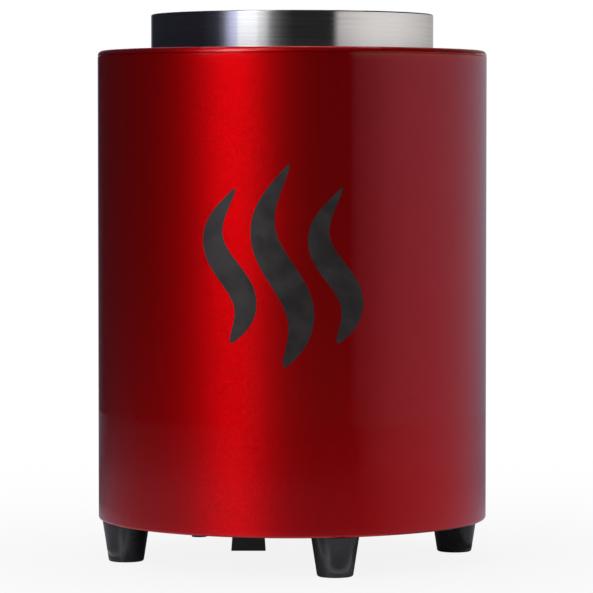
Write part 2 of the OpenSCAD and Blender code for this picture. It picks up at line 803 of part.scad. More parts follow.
module stator_core() {
    z_core1 = z_core + core_h;
    mouth_w = 2;
    color([0.35, 0.36, 0.38])
        difference() {
            ring(core_ro, core_ri, z_core, z_core1);
            for (i = [0:5])
                rotate([0, 0, 60 * i]) {
                    bar(slot_r0, slot_r1, core_slot_w, z_core - eps, z_core1 + eps);
                    bar(core_ri - 1, slot_r0 + 1, mouth_w, z_core - eps, z_core1 + eps);
                }
        }
}
// Wire packed in the core's six slots, and the end turns over both faces
module stator_windings() {
    r0 = slot_r0 + winding_gap;
    r1 = slot_r1 - winding_gap;
    z_core1 = z_core + core_h;
    color([0.72, 0.4, 0.2])
        union() {
            for (i = [0:5])
                rotate([0, 0, 60 * i])
                    bar(r0, r1, core_slot_w - 2 * winding_gap, z_core - 1, z_core1 + 1);
            ring(r1, r0, z_core - end_turn_h, z_core);
            ring(r1, r0, z_core1, z_core1 + end_turn_h);
        }
}
module bearing_outer_rings() {
    color("silver")
        for (z = [z_bearing_low, z_bearing_high]) ring(bearing_r, bearing_r - race_t, z, z + bearing_w);
}
module bearing_inner_rings() {
    color("silver")
        for (z = [z_bearing_low, z_bearing_high]) ring(shaft_r + race_t, shaft_r + press, z, z + bearing_w);
}
module bearing_balls() {
    balls = 7;
    color("silver")
        for (z = [z_bearing_low, z_bearing_high], i = [1:balls])
            rotate([0, 0, i * 360 / balls]) translate([ball_ring_r, 0, z + bearing_w / 2]) sphere(r = ball_r);
}
module motor_screws() {
    color("silver")
        at_turns(motor_screw_circle, spider_turns)
            translate([0, 0, z_spider1]) mirror([0, 0, 1])
                screw_up(m3_r, m3_head_r, m3_head_h, 0, spider_t + cap_t + 2);
}
module motor_shaft() {
    color([0.75, 0.75, 0.77])
        union() {
            disc(shaft_r, z_motor0 + 1, z_hub1 - hub_top_t);
            disc(thread_r, z_hub1 - hub_top_t - 0.1, z_hub1 + nut_h + 1.5);
        }
}
module rotor_core() {
    rotor_r = core_ri - 0.5;
    end_ring_h = 2.5;
    z0 = z_core - end_ring_h;
    z1 = z_core + core_h + end_ring_h;
    color([0.5, 0.51, 0.53])
        difference() {
            union() {
                disc(rotor_r, z_core, z_core + core_h);
                disc(rotor_r - 2, z0, z1);
            }
            hole(shaft_r + press, z0, z1);
        }
}

// Fan
module blade() {
    root_r = hub_r * 0.64;
    rotate([90 - blade_pitch, 0, 0]) rotate([0, 90, 0])
        translate([0, 0, root_r])
            linear_extrude(height = duct_ri - root_r)
                intersection() {
                    translate([0, blade_camber_r - 1])
                        difference() {
                            circle(blade_camber_r + blade_t / 2);
                            circle(blade_camber_r - blade_t / 2);
                        }
                    translate([-blade_chord / 2, -5]) square([blade_chord, 14]);
                }
}
// A hub with a hollow back and a boss for the shaft, and the blades cut off at its two faces
module impeller() {
    color([0.12, 0.12, 0.13])
        difference() {
            union() {
                difference() {
                    union() {
                        disc(hub_r, z_hub0, z_hub1);
                        intersection() {
                            disc(tip_r, z_hub0, z_hub1);
                            union() {
                                for (i = [1:blades])
                                    translate([0, 0, z_hub0 + hub_h / 2])
                                        rotate([0, 0, i * 360 / blades]) blade();
                            }
                        }
                    }
                    disc(hub_r - hub_wall, z_hub0 - eps, z_hub1 - hub_top_t);
                }
                disc(shaft_r + 4, z_hub0 + 2, z_hub1 - hub_top_t + 0.1);
            }
            disc(shaft_r + press, z_hub0 - eps, z_hub1 - hub_top_t);
            disc(thread_r + run, z_hub0, z_hub1 + eps);
        }
}
module impeller_nut() {
    color("silver") hex_nut(thread_r * 1.9, thread_r + run, z_hub1, z_hub1 + nut_h);
}

// Heater
function bezier(a, b, c, d, n) = [for (i = [0:n]) let (t = i / n, s = 1 - t)
    s * s * s * a + 3 * s * s * t * b + 3 * s * t * t * c + t * t * t * d];
function unit(v) = v / norm(v);
function carried(n, t) = unit(n - (n * t) * t);
// One unbroken tube along a route: a ring of sides about each point, and a cap at each end
module tube(route, r, sides, side_dir) {
    last = len(route) - 1;
    tangents = [for (i = [0:last]) unit(route[min(i + 1, last)] - route[max(i - 1, 0)])];
    normals = [for (i = 0, n = carried(side_dir, tangents[0]); i <= last;
                    i = i + 1, n = i <= last ? carried(n, tangents[i]) : n) n];
    points = [for (i = [0:last], k = [0:sides - 1])
        let (a = 360 * k / sides, binormal = cross(tangents[i], normals[i]))
        route[i] + r * (cos(a) * normals[i] + sin(a) * binormal)];
    walls = [for (i = [0:last - 1], k = [0:sides - 1])
        let (a = i * sides, b = a + sides, m = (k + 1) % sides)
        each [[a + k, b + k, b + m], [a + k, b + m, a + m]]];
    end = last * sides;
    caps = [for (k = [1:sides - 2]) each [[0, k, k + 1], [end, end + k + 1, end + k]]];
    polyhedron(points = points, faces = concat(walls, caps), convexity = 10);
}
function lifted(p, z) = [p[0], p[1], z];
heater_route = concat(
    [for (r = [heater_end_r:-10:norm(rise_foot) + heater_bend + 4]) lifted(r * rise_out, z_run)],
    [for (i = [0:5]) let (a = 18 * i)
        lifted(rise_foot + heater_bend * (1 - sin(a)) * rise_out, z_run + heater_bend * (1 - cos(a)))],
    [for (i = [1:4]) let (a = 18 * i)
        lifted(rise_foot + heater_bend * (1 - cos(a)) * rise_heading, z_run + heater_bend * (1 + sin(a)))],
    [for (i = [0:heater_steps * heater_turns]) let (t = 360 * i / heater_steps)
        lifted(polar(spiral_r(t), heater_start + t), z_heater)],
    [for (i = [1:5]) lifted(exit_point(exit_sweep * i / 5), z_heater)],
    [lifted(polar(heater_end_r, exit_turn), z_heater)]);
heater_gap = min([for (i = [0:len(heater_route) - 1], j = [i + 8:1:len(heater_route) - 1])
    norm(heater_route[i] - heater_route[j])]) - heater_tube_d;
echo(heater_least_gap = heater_gap);
module heater_element() {
    color([0.32, 0.3, 0.3]) tube(heater_route, heater_r, 6, [0, 0, 1]);
}
module heater_frame_lower() {
    tab_x = duct_ri - 0.4;
    color([0.6, 0.61, 0.63])
        difference() {
            union() {
                disc(frame_hub_r, z_frame0, z_frame1);
                for (turn = frame_turns)
                    rotate([0, 0, turn]) {
                        bar(0, tab_x - frame_tab_t / 2, frame_w, z_frame0, z_frame1);
                        bar(tab_x - frame_tab_t, tab_x, frame_tab_w, z_frame0 - frame_tab_drop, z_frame1);
                        translate([frame_post_at, 0, 0]) disc(frame_pad_r, z_frame0, z_frame1);
                    }
            }
            hole(m3_r + run, z_frame0, z_frame1);
            for (turn = frame_turns)
                rotate([0, 0, turn]) {
                    translate([frame_post_at, 0, 0]) hole(m3_r + run, z_frame0, z_frame1);
                    radial_rod(m3_r + run, duct_ri - 3, duct_ri, z_tab_screw);
                }
        }
}
module heater_frame_upper() {
    color([0.6, 0.61, 0.63])
        difference() {
            union() {
                disc(frame_hub_r, z_strap0, z_strap1);
                disc(frame_post_r + 1, z_frame1, z_strap0 + 0.1);
                for (turn = frame_turns)
                    rotate([0, 0, turn]) {
                        bar(0, frame_post_at, frame_w, z_strap0, z_strap1);
                        translate([frame_post_at, 0, 0]) {
                            disc(frame_post_r, z_frame1, z_strap1);
                            disc(frame_pad_r, z_strap0, z_strap1);
                        }
                    }
            }
            hole(m3_r + run, z_frame1, z_strap1);
            for (turn = frame_turns)
                rotate([0, 0, turn])
                    translate([frame_post_at, 0, 0]) hole(m3_r + run, z_frame1, z_strap1);
        }
}
module frame_screw() {
    translate([0, 0, z_strap1]) mirror([0, 0, 1])
        screw_up(m3_r, m3_head_r, m3_head_h, 0, z_strap1 - z_frame0 + past_nut);
}
module heater_screws() {
    color("silver") {
        frame_screw();
        for (turn = frame_turns)
            rotate([0, 0, turn]) {
                translate([frame_post_at, 0, 0]) frame_screw();
                translate([duct_ro, 0, z_tab_screw]) rotate([0, -90, 0])
                    screw_up(m3_r, m3_head_r, m3_head_h, 0, 5);
            }
    }
}
// Places its children where a heater end goes through the duct's wall, the local X along the end
module heater_wall(end) {
    translate([0, 0, end[1]]) rotate([0, 0, end[0]]) translate([duct_ri, 0, 0]) children();
}
module heater_bushes() {
    color([0.92, 0.9, 0.85])
        for (end = heater_ends)
            heater_wall(end)
                difference() {
                    union() {
                        radial_rod(bush_r, -3, 8, 0);
                        radial_rod(bush_r + bush_collar_w, duct_t + 0.5, 5, 0);
                    }
                    radial_rod(heater_r + 0.1, -4, 9, 0);
                }
}
// A pin in line with each heater end, and a lug turned down for the lead
module heater_terminals() {
    pin_l = 6;
    pin_x = heater_end_r - duct_ri;
    color([0.8, 0.68, 0.35])
        for (end = heater_ends)
            heater_wall(end)
                union() {
                    radial_rod(terminal_pin_r, pin_x, pin_x + pin_l, 0);
                    translate([pin_x + terminal_pin_r, 0, 0]) disc(terminal_pin_r, -terminal_drop, 0);
                }
}
// A strip on the duct's outer wall that carries the thermostat
module thermostat_bracket() {
    color([0.7, 0.71, 0.72])
        rotate([0, 0, thermostat_turn])
            difference() {
                bar(strip_x, strip_x + strip_t, strip_w,
                    z_thermostat - strip_half, z_thermostat + strip_half);
                for (s = [-1, 1])
                    radial_rod(m3_r + run, duct_ro - 1, duct_ro + 2, z_thermostat + s * strip_screw_z);
            }
}
// The thermostat's disc, cap and two blades, and the screws of its strip
module thermostat() {
    x0 = strip_x + strip_t;
    disc_t = 2.7;
    cap_x = x0 + disc_t;
    blade_gap = 7;
    color([0.16, 0.16, 0.17])
        rotate([0, 0, thermostat_turn]) {
            union() {
                radial_rod(8, x0, cap_x, z_thermostat);
                radial_rod(6.5, cap_x - 0.1, cap_x + 5, z_thermostat);
                for (s = [-1, 1])
                    translate([cap_x + 4, (s * blade_gap - terminal_t) / 2, z_thermostat - 3])
                        cube([9, terminal_t, 6]);
            }
            for (s = [-1, 1])
                translate([x0, 0, z_thermostat + s * strip_screw_z])
                    rotate([0, -90, 0]) screw_up(m3_r, m3_head_r, m3_head_h, 0, 4);
        }
}
// A fuse in a ceramic clip, its two wires along the duct
module thermal_fuse() {
    clip_w = 8;
    clip_half = 3;
    fuse_r = 2.2;
    fuse_half = 7;
    wire_r = 0.6;
    wire_half = 16;
    x = duct_ro + 3;
    color([0.85, 0.85, 0.8])
        rotate([0, 0, fuse_turn])
            union() {
                bar(strip_x, x + 1, clip_w, z_thermostat - clip_half, z_thermostat + clip_half);
                translate([x, 0, 0]) disc(fuse_r, z_thermostat - fuse_half, z_thermostat + fuse_half);
                translate([x, 0, 0]) disc(wire_r, z_thermostat - wire_half, z_thermostat + wire_half);
            }
}

// Control panel and what it carries; children of on_panel stand on its face, their Z pointing out
module on_panel(z) {
    translate([0, y_face, z]) rotate([-90, 0, 0]) children();
}
module control_panel() {
    color([0.1, 0.1, 0.11])
        difference() {
            intersection() {
                disc(bezel_r + bezel_t, z_window0 - 20, z_window1 + 20);
                union() {
                    window_prism(window_w - 2 * air, window_h - 2 * air, window_corner - air, z_window,
                                 y_back, shell_r + 6);
                    difference() {
                        window_prism(window_w + 2 * bezel_w, window_h + 2 * bezel_w,
                                     window_corner + bezel_w / 2, z_window, y_face - 20, shell_r + 6);
                        disc(bezel_r, z_window0 - 20, z_window1 + 20);
                    }
                }
            }
            window_prism(window_w - 2 * (air + tray_t), window_h - 2 * (air + tray_t),
                         window_corner - air - tray_t, z_window, y_face, shell_r + 8);
            panel_box(inlet_body + 2 * [cutout_gap, cutout_gap], 0, z_inlet, y_back - eps, y_face + eps);
            panel_box(switch_case + 2 * [cutout_gap, cutout_gap], 0, z_switch, y_back - eps, y_face + eps);
            panel_rod(bushing_r + fit, 0, z_knob, y_back - eps, y_face + eps);
            at_panel_screws(0) radial_rod(m3_hole, bezel_r - 6, bezel_r + bezel_t + 2, 0);
        }
}
module panel_screws() {
    color("silver")
        at_panel_screws(bezel_r + bezel_t)
            rotate([0, -90, 0]) screw_up(m3_r - 0.1, m3_head_r, m3_head_h, 0, 6);
}
// A three-pin appliance inlet: a bezel, a deep body and the pocket for a connector
module power_inlet() {
    floor_t = 2;
    bezel_h = 1.6;
    y_floor = y_face - inlet_depth + floor_t;
    color([0.07, 0.07, 0.08])
        difference() {
            union() {
                window_prism(inlet_bezel[0], inlet_bezel[1], 2, z_inlet, y_face, y_face + bezel_h);
                panel_box(inlet_body, 0, z_inlet, y_face - inlet_depth, y_face + 0.1);
            }
            window_prism(inlet_cavity[0], inlet_cavity[1], 2.5, z_inlet, y_floor, y_face + 3);
            for (spot = pin_spots)
                panel_box(pin_size + [0.2, 0.2], spot[0], z_inlet + spot[1],
                          y_face - inlet_depth - eps, y_floor + eps);
        }
}
module inlet_pins() {
    y_rear = y_face - inlet_depth;
    color([0.8, 0.8, 0.78])
        for (spot = pin_spots)
            union() {
                panel_box(pin_size, spot[0], z_inlet + spot[1], y_rear - 1, y_face - 4);
                panel_box([terminal_w, terminal_t], spot[0], z_inlet + spot[1], y_rear - 8, y_rear - 0.5);
            }
}
module switch_body() {
    bezel_h = 1.5;
    color([0.07, 0.07, 0.08])
        difference() {
            union() {
                window_prism(switch_bezel[0], switch_bezel[1], 1.5, z_switch, y_face, y_face + bezel_h);
                panel_box(switch_case, 0, z_switch, y_face - switch_depth, y_face + 0.1);
                for (s = [-1, 1])
                    panel_box([terminal_t, terminal_w], s * 5, z_switch,
                              y_face - switch_depth - 7, y_face - switch_depth + 0.5);
            }
            panel_box(switch_mouth, 0, z_switch, y_face - rocker_depth, y_face + 3);
            translate([0, y_face - pivot_drop, z_switch - switch_case[1] / 2 + 0.3])
                cylinder(r = trunnion_r + run, h = switch_case[1] - 0.6);
        }
}
// The rocker, tipped to its off side, on two trunnions in the switch body's walls
module switch_rocker() {
    half = switch_mouth[0] / 2 - 0.9;
    depth = switch_mouth[1] - 2 * air;
    trunnion_l = switch_case[1] - 1;
    crest = 4.6;
    dip = 3.4;
    heel = -2.5;
    keel = -4.5;
    color([0.5, 0.03, 0.04])
        translate([0, y_face - pivot_drop, z_switch])
            rotate([0, 0, -rocker_swing / 2])
                union() {
                    translate([0, 0, -depth / 2])
                        linear_extrude(height = depth)
                            polygon([[-half, crest], [0, dip], [half, crest],
                                     [half - 0.7, heel], [0, keel], [0.7 - half, heel]]);
                    translate([0, 0, -trunnion_l / 2]) cylinder(r = trunnion_r, h = trunnion_l);
                }
}
module selector_body() {
    color([0.2, 0.2, 0.21])
        difference() {
            union() {
                panel_rod(selector_r, 0, z_knob, y_back - selector_depth, y_back);
                panel_rod(bushing_r, 0, z_knob, y_back - 0.1, y_face + bushing_h);
                for (x = [-6, 0, 6])
                    panel_box([4, terminal_t], x, z_knob,
                              y_back - selector_depth - 6, y_back - selector_depth + 0.5);
            }
            panel_rod(selector_shaft_r + run, 0, z_knob, y_back - shaft_hold - fit, y_face + bushing_h + 1);
        }
}
module selector_nut() {
    color("silver") on_panel(z_knob) hex_nut(selector_nut_r, bushing_r + run, 0, selector_nut_h);
}
module selector_shaft() {
    color([0.75, 0.75, 0.77])
        panel_rod(selector_shaft_r, 0, z_knob, y_back - shaft_hold, y_face + knob_h - knob_top_t - 0.1);
}
// A scalloped knob with a pointer rib; the rib stands at the first mark
module selector_knob() {
    edge_r = 1.2;
    foot_gap = 0.6;
    flutes = 12;
    flute_r = 3;
    flute_at = knob_r + 1.7;
    z_crown = knob_h - knob_mark_h;
    mark_w = 2;
    color([0.09, 0.09, 0.1])
        on_panel(z_knob)
            difference() {
                union() {
                    difference() {
                        rotate_extrude()
                            polygon(concat(
                                [[0, foot_gap], [knob_r, foot_gap]],
                                arc([knob_r - edge_r, z_crown - edge_r], edge_r, 0, 90, 5),
                                [[0, z_crown]]));
                        for (i = [0:flutes - 1])
                            rotate([0, 0, (i + 0.5) * 360 / flutes])
                                translate([flute_at, 0, 0]) disc(flute_r, foot_gap + 1.5, knob_h + 2);
                    }
                    rotate([0, 0, -22.5]) bar(1, knob_r - 1.5, mark_w, z_crown - 0.2, knob_h);
                }
                disc(bushing_r + 4, 0, bushing_h + 0.8);
                disc(selector_shaft_r + press, bushing_h, knob_h - knob_top_t);
            }
}

// Electronics behind the panel
module circuit_board() {
    color([0.1, 0.35, 0.16])
        difference() {
            panel_box(board_size, 0, z_window, y_board0, y_board1);
            for (spot = post_spots) panel_rod(m3_r + run, spot[0], spot[1], y_board0 - eps, y_board1 + eps);
        }
}
module board_posts() {
    color([0.8, 0.7, 0.4])
        for (spot = post_spots)
            union() {
                panel_rod(post_r, spot[0], spot[1], y_board1, y_back);
                panel_rod(m3_r, spot[0], spot[1], y_board0 - 2 * past_nut, y_board1 + 0.1);
            }
}
// A capacitor, a relay and a terminal block with five screw holes
module board_parts() {
    z_row = z_window + 9;
    capacitor_r = 8;
    capacitor_x = -17;
    capacitor_h = 20;
    relay_size = [15, 19];
    relay_x = 15;
    relay_h = 15;
    hole_r = 2;
    color([0.15, 0.3, 0.6])
        panel_rod(capacitor_r, capacitor_x, z_row, y_board0 - capacitor_h, y_board0);
    color([0.1, 0.1, 0.1]) panel_box(relay_size, relay_x, z_row, y_board0 - relay_h, y_board0);
    color([0.2, 0.5, 0.3])
        difference() {
            panel_box(block_size, 0, z_block, y_board0 - block_t, y_board0);
            for (i = [-2:2])
                panel_rod(hole_r, block_pitch * i, z_block, y_board0 - block_t - 1, y_board0 - block_t / 2);
        }
}
module heat_sink() {
    z_sink = z_window - 20;
    sink_size = [32, 24];
    sink_t = 2.5;
    fin_size = [1.4, 24];
    fin_h = 14;
    fin_pitch = 5;
    color([0.7, 0.71, 0.73])
        union() {
            panel_box(sink_size, 0, z_sink, y_board0 - sink_t, y_board0);
            for (i = [-3:3])
                panel_box(fin_size, fin_pitch * i, z_sink, y_board0 - fin_h, y_board0 - sink_t + eps);
        }
}
// Two sleeved leads from the heater through the bulkhead ring, and two from the motor's vent
module internal_leads() {
    hole_turn = lead_turn - 90;
    y_block = y_board0 - block_t / 2;
    z_block_top = z_block + block_size[1] / 2;
    drop = [0, 0, lead_end];
    color([0.8, 0.78, 0.7])
        for (i = [0, 1]) {
            start = lifted(polar(heater_end_r + terminal_pin_r, heater_ends[i][0]),
                           heater_ends[i][1] - terminal_drop);
            pass = lifted(polar(lead_r, hole_turn + 2 * i - 1), z_ring1);
            finish = [block_pitch * (2 - i), y_block, z_block_top];
            route = concat(
                [start],
                bezier(start - drop, start - 7 * drop, pass + 10 * drop, pass, 10),
                bezier(pass - [0, 0, ring_t], pass - 5 * drop, finish + 4 * drop, finish + drop, 10),
                [finish]);
            tube(route, lead_wire_r, 6, [1, 0, 0]);
        }
    color([0.1, 0.1, 0.12])
        for (i = [0, 1]) {
            start = [3 * i - 1.5, slot_r1 + fit, z_vent_high + vent_h / 2];
            leave = start + [0, 5 * lead_end, 0];
            finish = [block_pitch * (i - 1), y_block, z_block_top];
            arrive = finish + [0, -3 * lead_end, 4 * lead_end];
            route = concat(bezier(start, leave, arrive, finish + drop, 12), [finish]);
            tube(route, lead_wire_r, 6, [1, 0, 0]);
        }
}

body_shell();
top_deck();
outlet_collar();
outlet_guard();
deck_screws();
deck_nuts();
base_plate();
base_brackets();
base_screws();
intake_guard();
guard_screws();
foot_front();
foot_right();
foot_back();
foot_left();
foot_screws();
foot_nuts();
filter_cover();
lint_filter();
inner_duct();
bulkhead_ring();
motor_spider();
duct_screws();
duct_nuts();
motor_housing();
motor_end_cap();
motor_screws();
stator_core();
stator_windings();
bearing_outer_rings();
bearing_balls();
bearing_inner_rings();
motor_shaft();
rotor_core();
impeller();
impeller_nut();
heater_element();
heater_frame_lower();
heater_frame_upper();
heater_screws();
heater_bushes();
heater_terminals();
thermostat();
thermostat_bracket();
thermal_fuse();
control_panel();
panel_screws();
power_inlet();
inlet_pins();
switch_body();
switch_rocker();
selector_body();
selector_nut();
selector_shaft();
selector_knob();
circuit_board();
board_posts();
board_parts();
heat_sink();
internal_leads();
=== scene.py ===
import math

import bmesh
import bpy
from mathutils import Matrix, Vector


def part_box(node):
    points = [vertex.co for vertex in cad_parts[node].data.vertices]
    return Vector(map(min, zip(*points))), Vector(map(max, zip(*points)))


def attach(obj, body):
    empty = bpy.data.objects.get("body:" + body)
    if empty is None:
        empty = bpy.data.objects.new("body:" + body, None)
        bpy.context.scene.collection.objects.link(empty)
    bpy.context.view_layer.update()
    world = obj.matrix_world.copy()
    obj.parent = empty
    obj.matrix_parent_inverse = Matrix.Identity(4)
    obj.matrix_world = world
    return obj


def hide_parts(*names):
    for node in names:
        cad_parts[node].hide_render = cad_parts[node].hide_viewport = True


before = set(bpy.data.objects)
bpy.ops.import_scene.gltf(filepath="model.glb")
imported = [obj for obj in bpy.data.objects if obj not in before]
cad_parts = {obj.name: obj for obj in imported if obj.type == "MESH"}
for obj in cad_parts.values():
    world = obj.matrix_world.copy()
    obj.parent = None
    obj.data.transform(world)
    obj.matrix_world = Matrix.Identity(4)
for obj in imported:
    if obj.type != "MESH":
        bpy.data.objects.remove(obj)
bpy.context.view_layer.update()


# ---- Camera ----
# A long lens stands in front of the dryer, a little below its deck, and is tilted down
# to its middle, so that the feet are seen slightly from above.
camera_data = bpy.data.cameras.new("front_camera")
camera_data.sensor_width = 36
camera_data.lens = 210.9
camera = bpy.data.objects.new("front_camera", camera_data)
camera.location = (0, -1.828, 0.2182)
camera.rotation_euler = (math.radians(87.46), 0, math.radians(-0.071))
bpy.context.scene.collection.objects.link(camera)
bpy.context.scene.camera = camera
bpy.context.scene.view_settings.view_transform = "Standard"


# ---- Studio ----
# A white floor runs out to a white room, with a tall softbox front left and another behind.
# Sheets round the dryer, dark on the left and in front and paler on the right, give the
# lacquer and the steel their bands. The sheets show only in reflections.
fill_level = 0.62
floor_half = 8.0


def put(tree, kind, feeds=(), **settings):
    """One shader node; settings are its own properties, feeds its inputs."""
    made = tree.nodes.new(kind)
    for key, value in settings.items():
        setattr(made, key, value)
    for key, value in dict(feeds).items():
        if isinstance(value, bpy.types.NodeSocket):
            tree.links.new(value, made.inputs[key])
        else:
            made.inputs[key].default_value = value
    return made


def link(tree, source, target):
    tree.links.new(source, target)


def reckon(tree, operation, *values, kind="Math"):
    """The result of a Math or VectorMath node on these values."""
    return put(tree, "ShaderNode" + kind, dict(enumerate(values)), operation=operation).outputs[0]


def place_in(tree):
    """The place on the part, in metres from the frame's origin."""
    return put(tree, "ShaderNodeTexCoord").outputs["Object"]


def seen_directly(tree):
    """1 for rays from the camera, a mirror or a glass, and 0 for diffuse light."""
    rays = put(tree, "ShaderNodeLightPath").outputs
    shiny = reckon(tree, "MAXIMUM", rays["Is Glossy Ray"], rays["Is Transmission Ray"])
    return reckon(tree, "MAXIMUM", rays["Is Camera Ray"], shiny)


def mesh_piece(name, points, faces, smooth=True):
    """A mesh object in the scene, from points in metres and its faces."""
    mesh = bpy.data.meshes.new(name)
    mesh.from_pydata(points, [], faces)
    mesh.update()
    mesh.polygons.foreach_set("use_smooth", [smooth] * len(mesh.polygons))
    piece = bpy.data.objects.new(name, mesh)
    bpy.context.scene.collection.objects.link(piece)
    return piece


room = bpy.data.worlds.new("white_room")
room.use_nodes = True
bpy.context.scene.world = room
room_light = room.node_tree.nodes["Background"]
room_light.inputs["Color"].default_value = (1, 1, 1, 1)
room_strength = put(room.node_tree, "ShaderNodeMapRange",
                    {"Value": seen_directly(room.node_tree), "To Min": fill_level, "To Max": 1.0})
link(room.node_tree, room_strength.outputs[0], room_light.inputs["Strength"])

# The floor is white to the camera. Its paper is painted darker near the dryer, a painted
# shade that weakens the light it throws back there and shows faintly round the dryer; its
# coat shows only to reflections, and it is open to a camera that looks from below
floor_corners = [(x * floor_half, y * floor_half, 0)
                 for x, y in ((-1, -1), (1, -1), (1, 1), (-1, 1))]
floor = mesh_piece("floor", floor_corners, [(0, 1, 2, 3)], smooth=False)
floor_finish = bpy.data.materials.new("floor_paper")
floor_finish.use_nodes = True
floor_tree = floor_finish.node_tree
floor_shader = floor_tree.nodes["Principled BSDF"]
floor_shader.inputs["Roughness"].default_value = 0.9
floor_shader.inputs["Specular IOR Level"].default_value = 0.1
floor_shader.inputs["Coat Roughness"].default_value = 0.08
floor_shader.inputs["Coat IOR"].default_value = 2.4
floor_camera = put(floor_tree, "ShaderNodeLightPath").outputs["Is Camera Ray"]
floor_back = put(floor_tree, "ShaderNodeNewGeometry").outputs["Backfacing"]
floor_reach = put(floor_tree, "ShaderNodeVectorMath", {0: place_in(floor_tree)},
                  operation="LENGTH").outputs["Value"]


def floor_ramp(reaches, values):
    """A value that runs evenly between two distances from the dryer's axis."""
    return put(floor_tree, "ShaderNodeMapRange",
               {"Value": floor_reach, "From Min": reaches[0], "From Max": reaches[1],
                "To Min": values[0], "To Max": values[1]}).outputs[0]


floor_seen = reckon(floor_tree, "MULTIPLY", floor_camera, floor_ramp((0.08, 0.6), (0.88, 1.0)))
floor_glow = put(floor_tree, "ShaderNodeEmission", {"Color": (1, 1, 1, 1), "Strength": 1.0})
floor_mix = put(floor_tree, "ShaderNodeMixShader",
                {0: floor_seen, 1: floor_shader.outputs[0], 2: floor_glow.outputs[0]})
floor_open = put(floor_tree, "ShaderNodeMixShader",
                 {0: reckon(floor_tree, "MULTIPLY", floor_camera, floor_back),
                  1: floor_mix.outputs[0],
                  2: put(floor_tree, "ShaderNodeBsdfTransparent").outputs[0]})
# Painted shade: the paper's colour is darker near the dryer and pales outward
link(floor_tree, floor_ramp((0.10, 0.35), (0.5, 0.92)), floor_shader.inputs["Base Color"])
link(floor_tree, reckon(floor_tree, "SUBTRACT", 1.0, floor_camera),
     floor_shader.inputs["Coat Weight"])
link(floor_tree, floor_open.outputs[0], floor_tree.nodes["Material Output"].inputs["Surface"])
floor.data.materials.append(floor_finish)


def reflector(name, turns, rows, hue=(1, 1, 1)):
    """A curved sheet round the dryer that shows only in glossy surfaces.

    Each row is (reach, height, glow at each turn); a turn of 0 is the front and 90 the
    right side, and the glow runs evenly between the corners.
    """
    points, glow = [], []
    for reach, height, levels in rows:
        for turn, level in zip(turns, levels):
            angle = math.radians(turn)
            points.append((reach * math.sin(angle), -reach * math.cos(angle), height))
            glow.append(level)
    n = len(turns)
    faces = [(r * n + i, r * n + i + 1, (r + 1) * n + i + 1, (r + 1) * n + i)
             for r in range(len(rows) - 1) for i in range(n - 1)]
    sheet = mesh_piece(name, points, faces, smooth=False)
    sheet.data.attributes.new("glow", "FLOAT", "POINT").data.foreach_set("value", glow)
    paint = bpy.data.materials.new(name)
    paint.use_nodes = True
    tree = paint.node_tree
    level = put(tree, "ShaderNodeAttribute", attribute_name="glow").outputs["Fac"]
    lit = put(tree, "ShaderNodeEmission", {"Color": (*hue, 1), "Strength": level})
    link(tree, lit.outputs[0], tree.nodes["Material Output"].inputs["Surface"])
    sheet.data.materials.append(paint)
    for ray in ("camera", "diffuse", "transmission", "volume_scatter", "shadow"):
        setattr(sheet, "visible_" + ray, False)


sheet_reach = 1.0
sheet_top = 2.0
high_edge = 0.292


def standing(*rows):
    """The rows of an upright sheet, from (height, glow at each turn)."""
    return [(sheet_reach, height, levels) for height, levels in rows]


# Dark flags stand on the left and in front. Above the level of the deck, where the steel
# collar mirrors them, they turn bright towards the front left
left_edge = 0.284
left_turns = [-180, -172, -164, -156, -145, -135, -120, -105,
              -90, -75, -66, -60, -55, -51, -48, -43]
left_foot = [0.20, 0.17, 0.11, 0.05] + [0.01] * 12
left_crown = [0.31, 0.27, 0.14] + [0.01] * 13
left_high = [0.45, 0.36, 0.2] + [0.024] * 7 + [0.04, 0.06, 0.24, 0.82, 1.2, 1.5]
reflector("flags_left", left_turns,
          standing((0.0, left_foot), (left_edge, left_crown), (high_edge, left_high),
                   (sheet_top, left_high)), (0.85, 0.88, 1.2))
front_edge = 0.287
front_turns = [-27, -22, -19.5, -17, -13, -7, 0, 15, 28]
front_high = [1.6, 1.3, 0.95, 0.45, 0.22, 0.08, 0.03, 0.03, 0.03]
reflector("flag_low", [-43, -35, -27], standing((0.0, [0.01] * 3), (front_edge, [0.01] * 3)))
reflector("flag_front", front_turns,
          standing((0.0, [0.04] * 9), (front_edge, [0.02] * 9), (high_edge, front_high),
                   (sheet_top, front_high)))

# A pale board on the right builds up from its front edge. Its upper strip, level with the
# collar, is the brightest, and a dark lid closes the ring of sheets
board_edge = 0.282
strip_foot, strip_top, strip_end = 0.294, 0.330, 0.350
board_turns = [28, 32, 34.5, 37, 48, 58, 68, 90, 120, 150, 180]
board_low = [0.03, 0.03, 0.07, 0.10, 0.18, 0.26, 0.29, 0.29, 0.26, 0.21, 0.20]
board_level = [0.02, 0.02, 0.10, 0.16, 0.26, 0.37, 0.41, 0.41, 0.37, 0.31, 0.31]
board_strip = [0.03, 0.05, 0.55, 1.05, 1.24, 1.36, 1.40, 1.32, 0.95, 0.55, 0.45]
board_high = [0.02] * 9 + [0.16, 0.45]
reflector("board_right", board_turns,
          standing((0.0, board_low), (board_edge, board_level)), (0.93, 1.0, 1.28))
reflector("board_strip", board_turns,
          standing((board_edge, board_level), (strip_foot, board_strip), (strip_top, board_strip),
                   (strip_end, board_high), (sheet_top, board_high)), (1.02, 0.98, 0.93))
reflector("flag_top", [-180, -90, 0, 90, 180],
          [(0.01, sheet_top, [0.08] * 5), (sheet_reach, sheet_top, [0.08] * 5)])

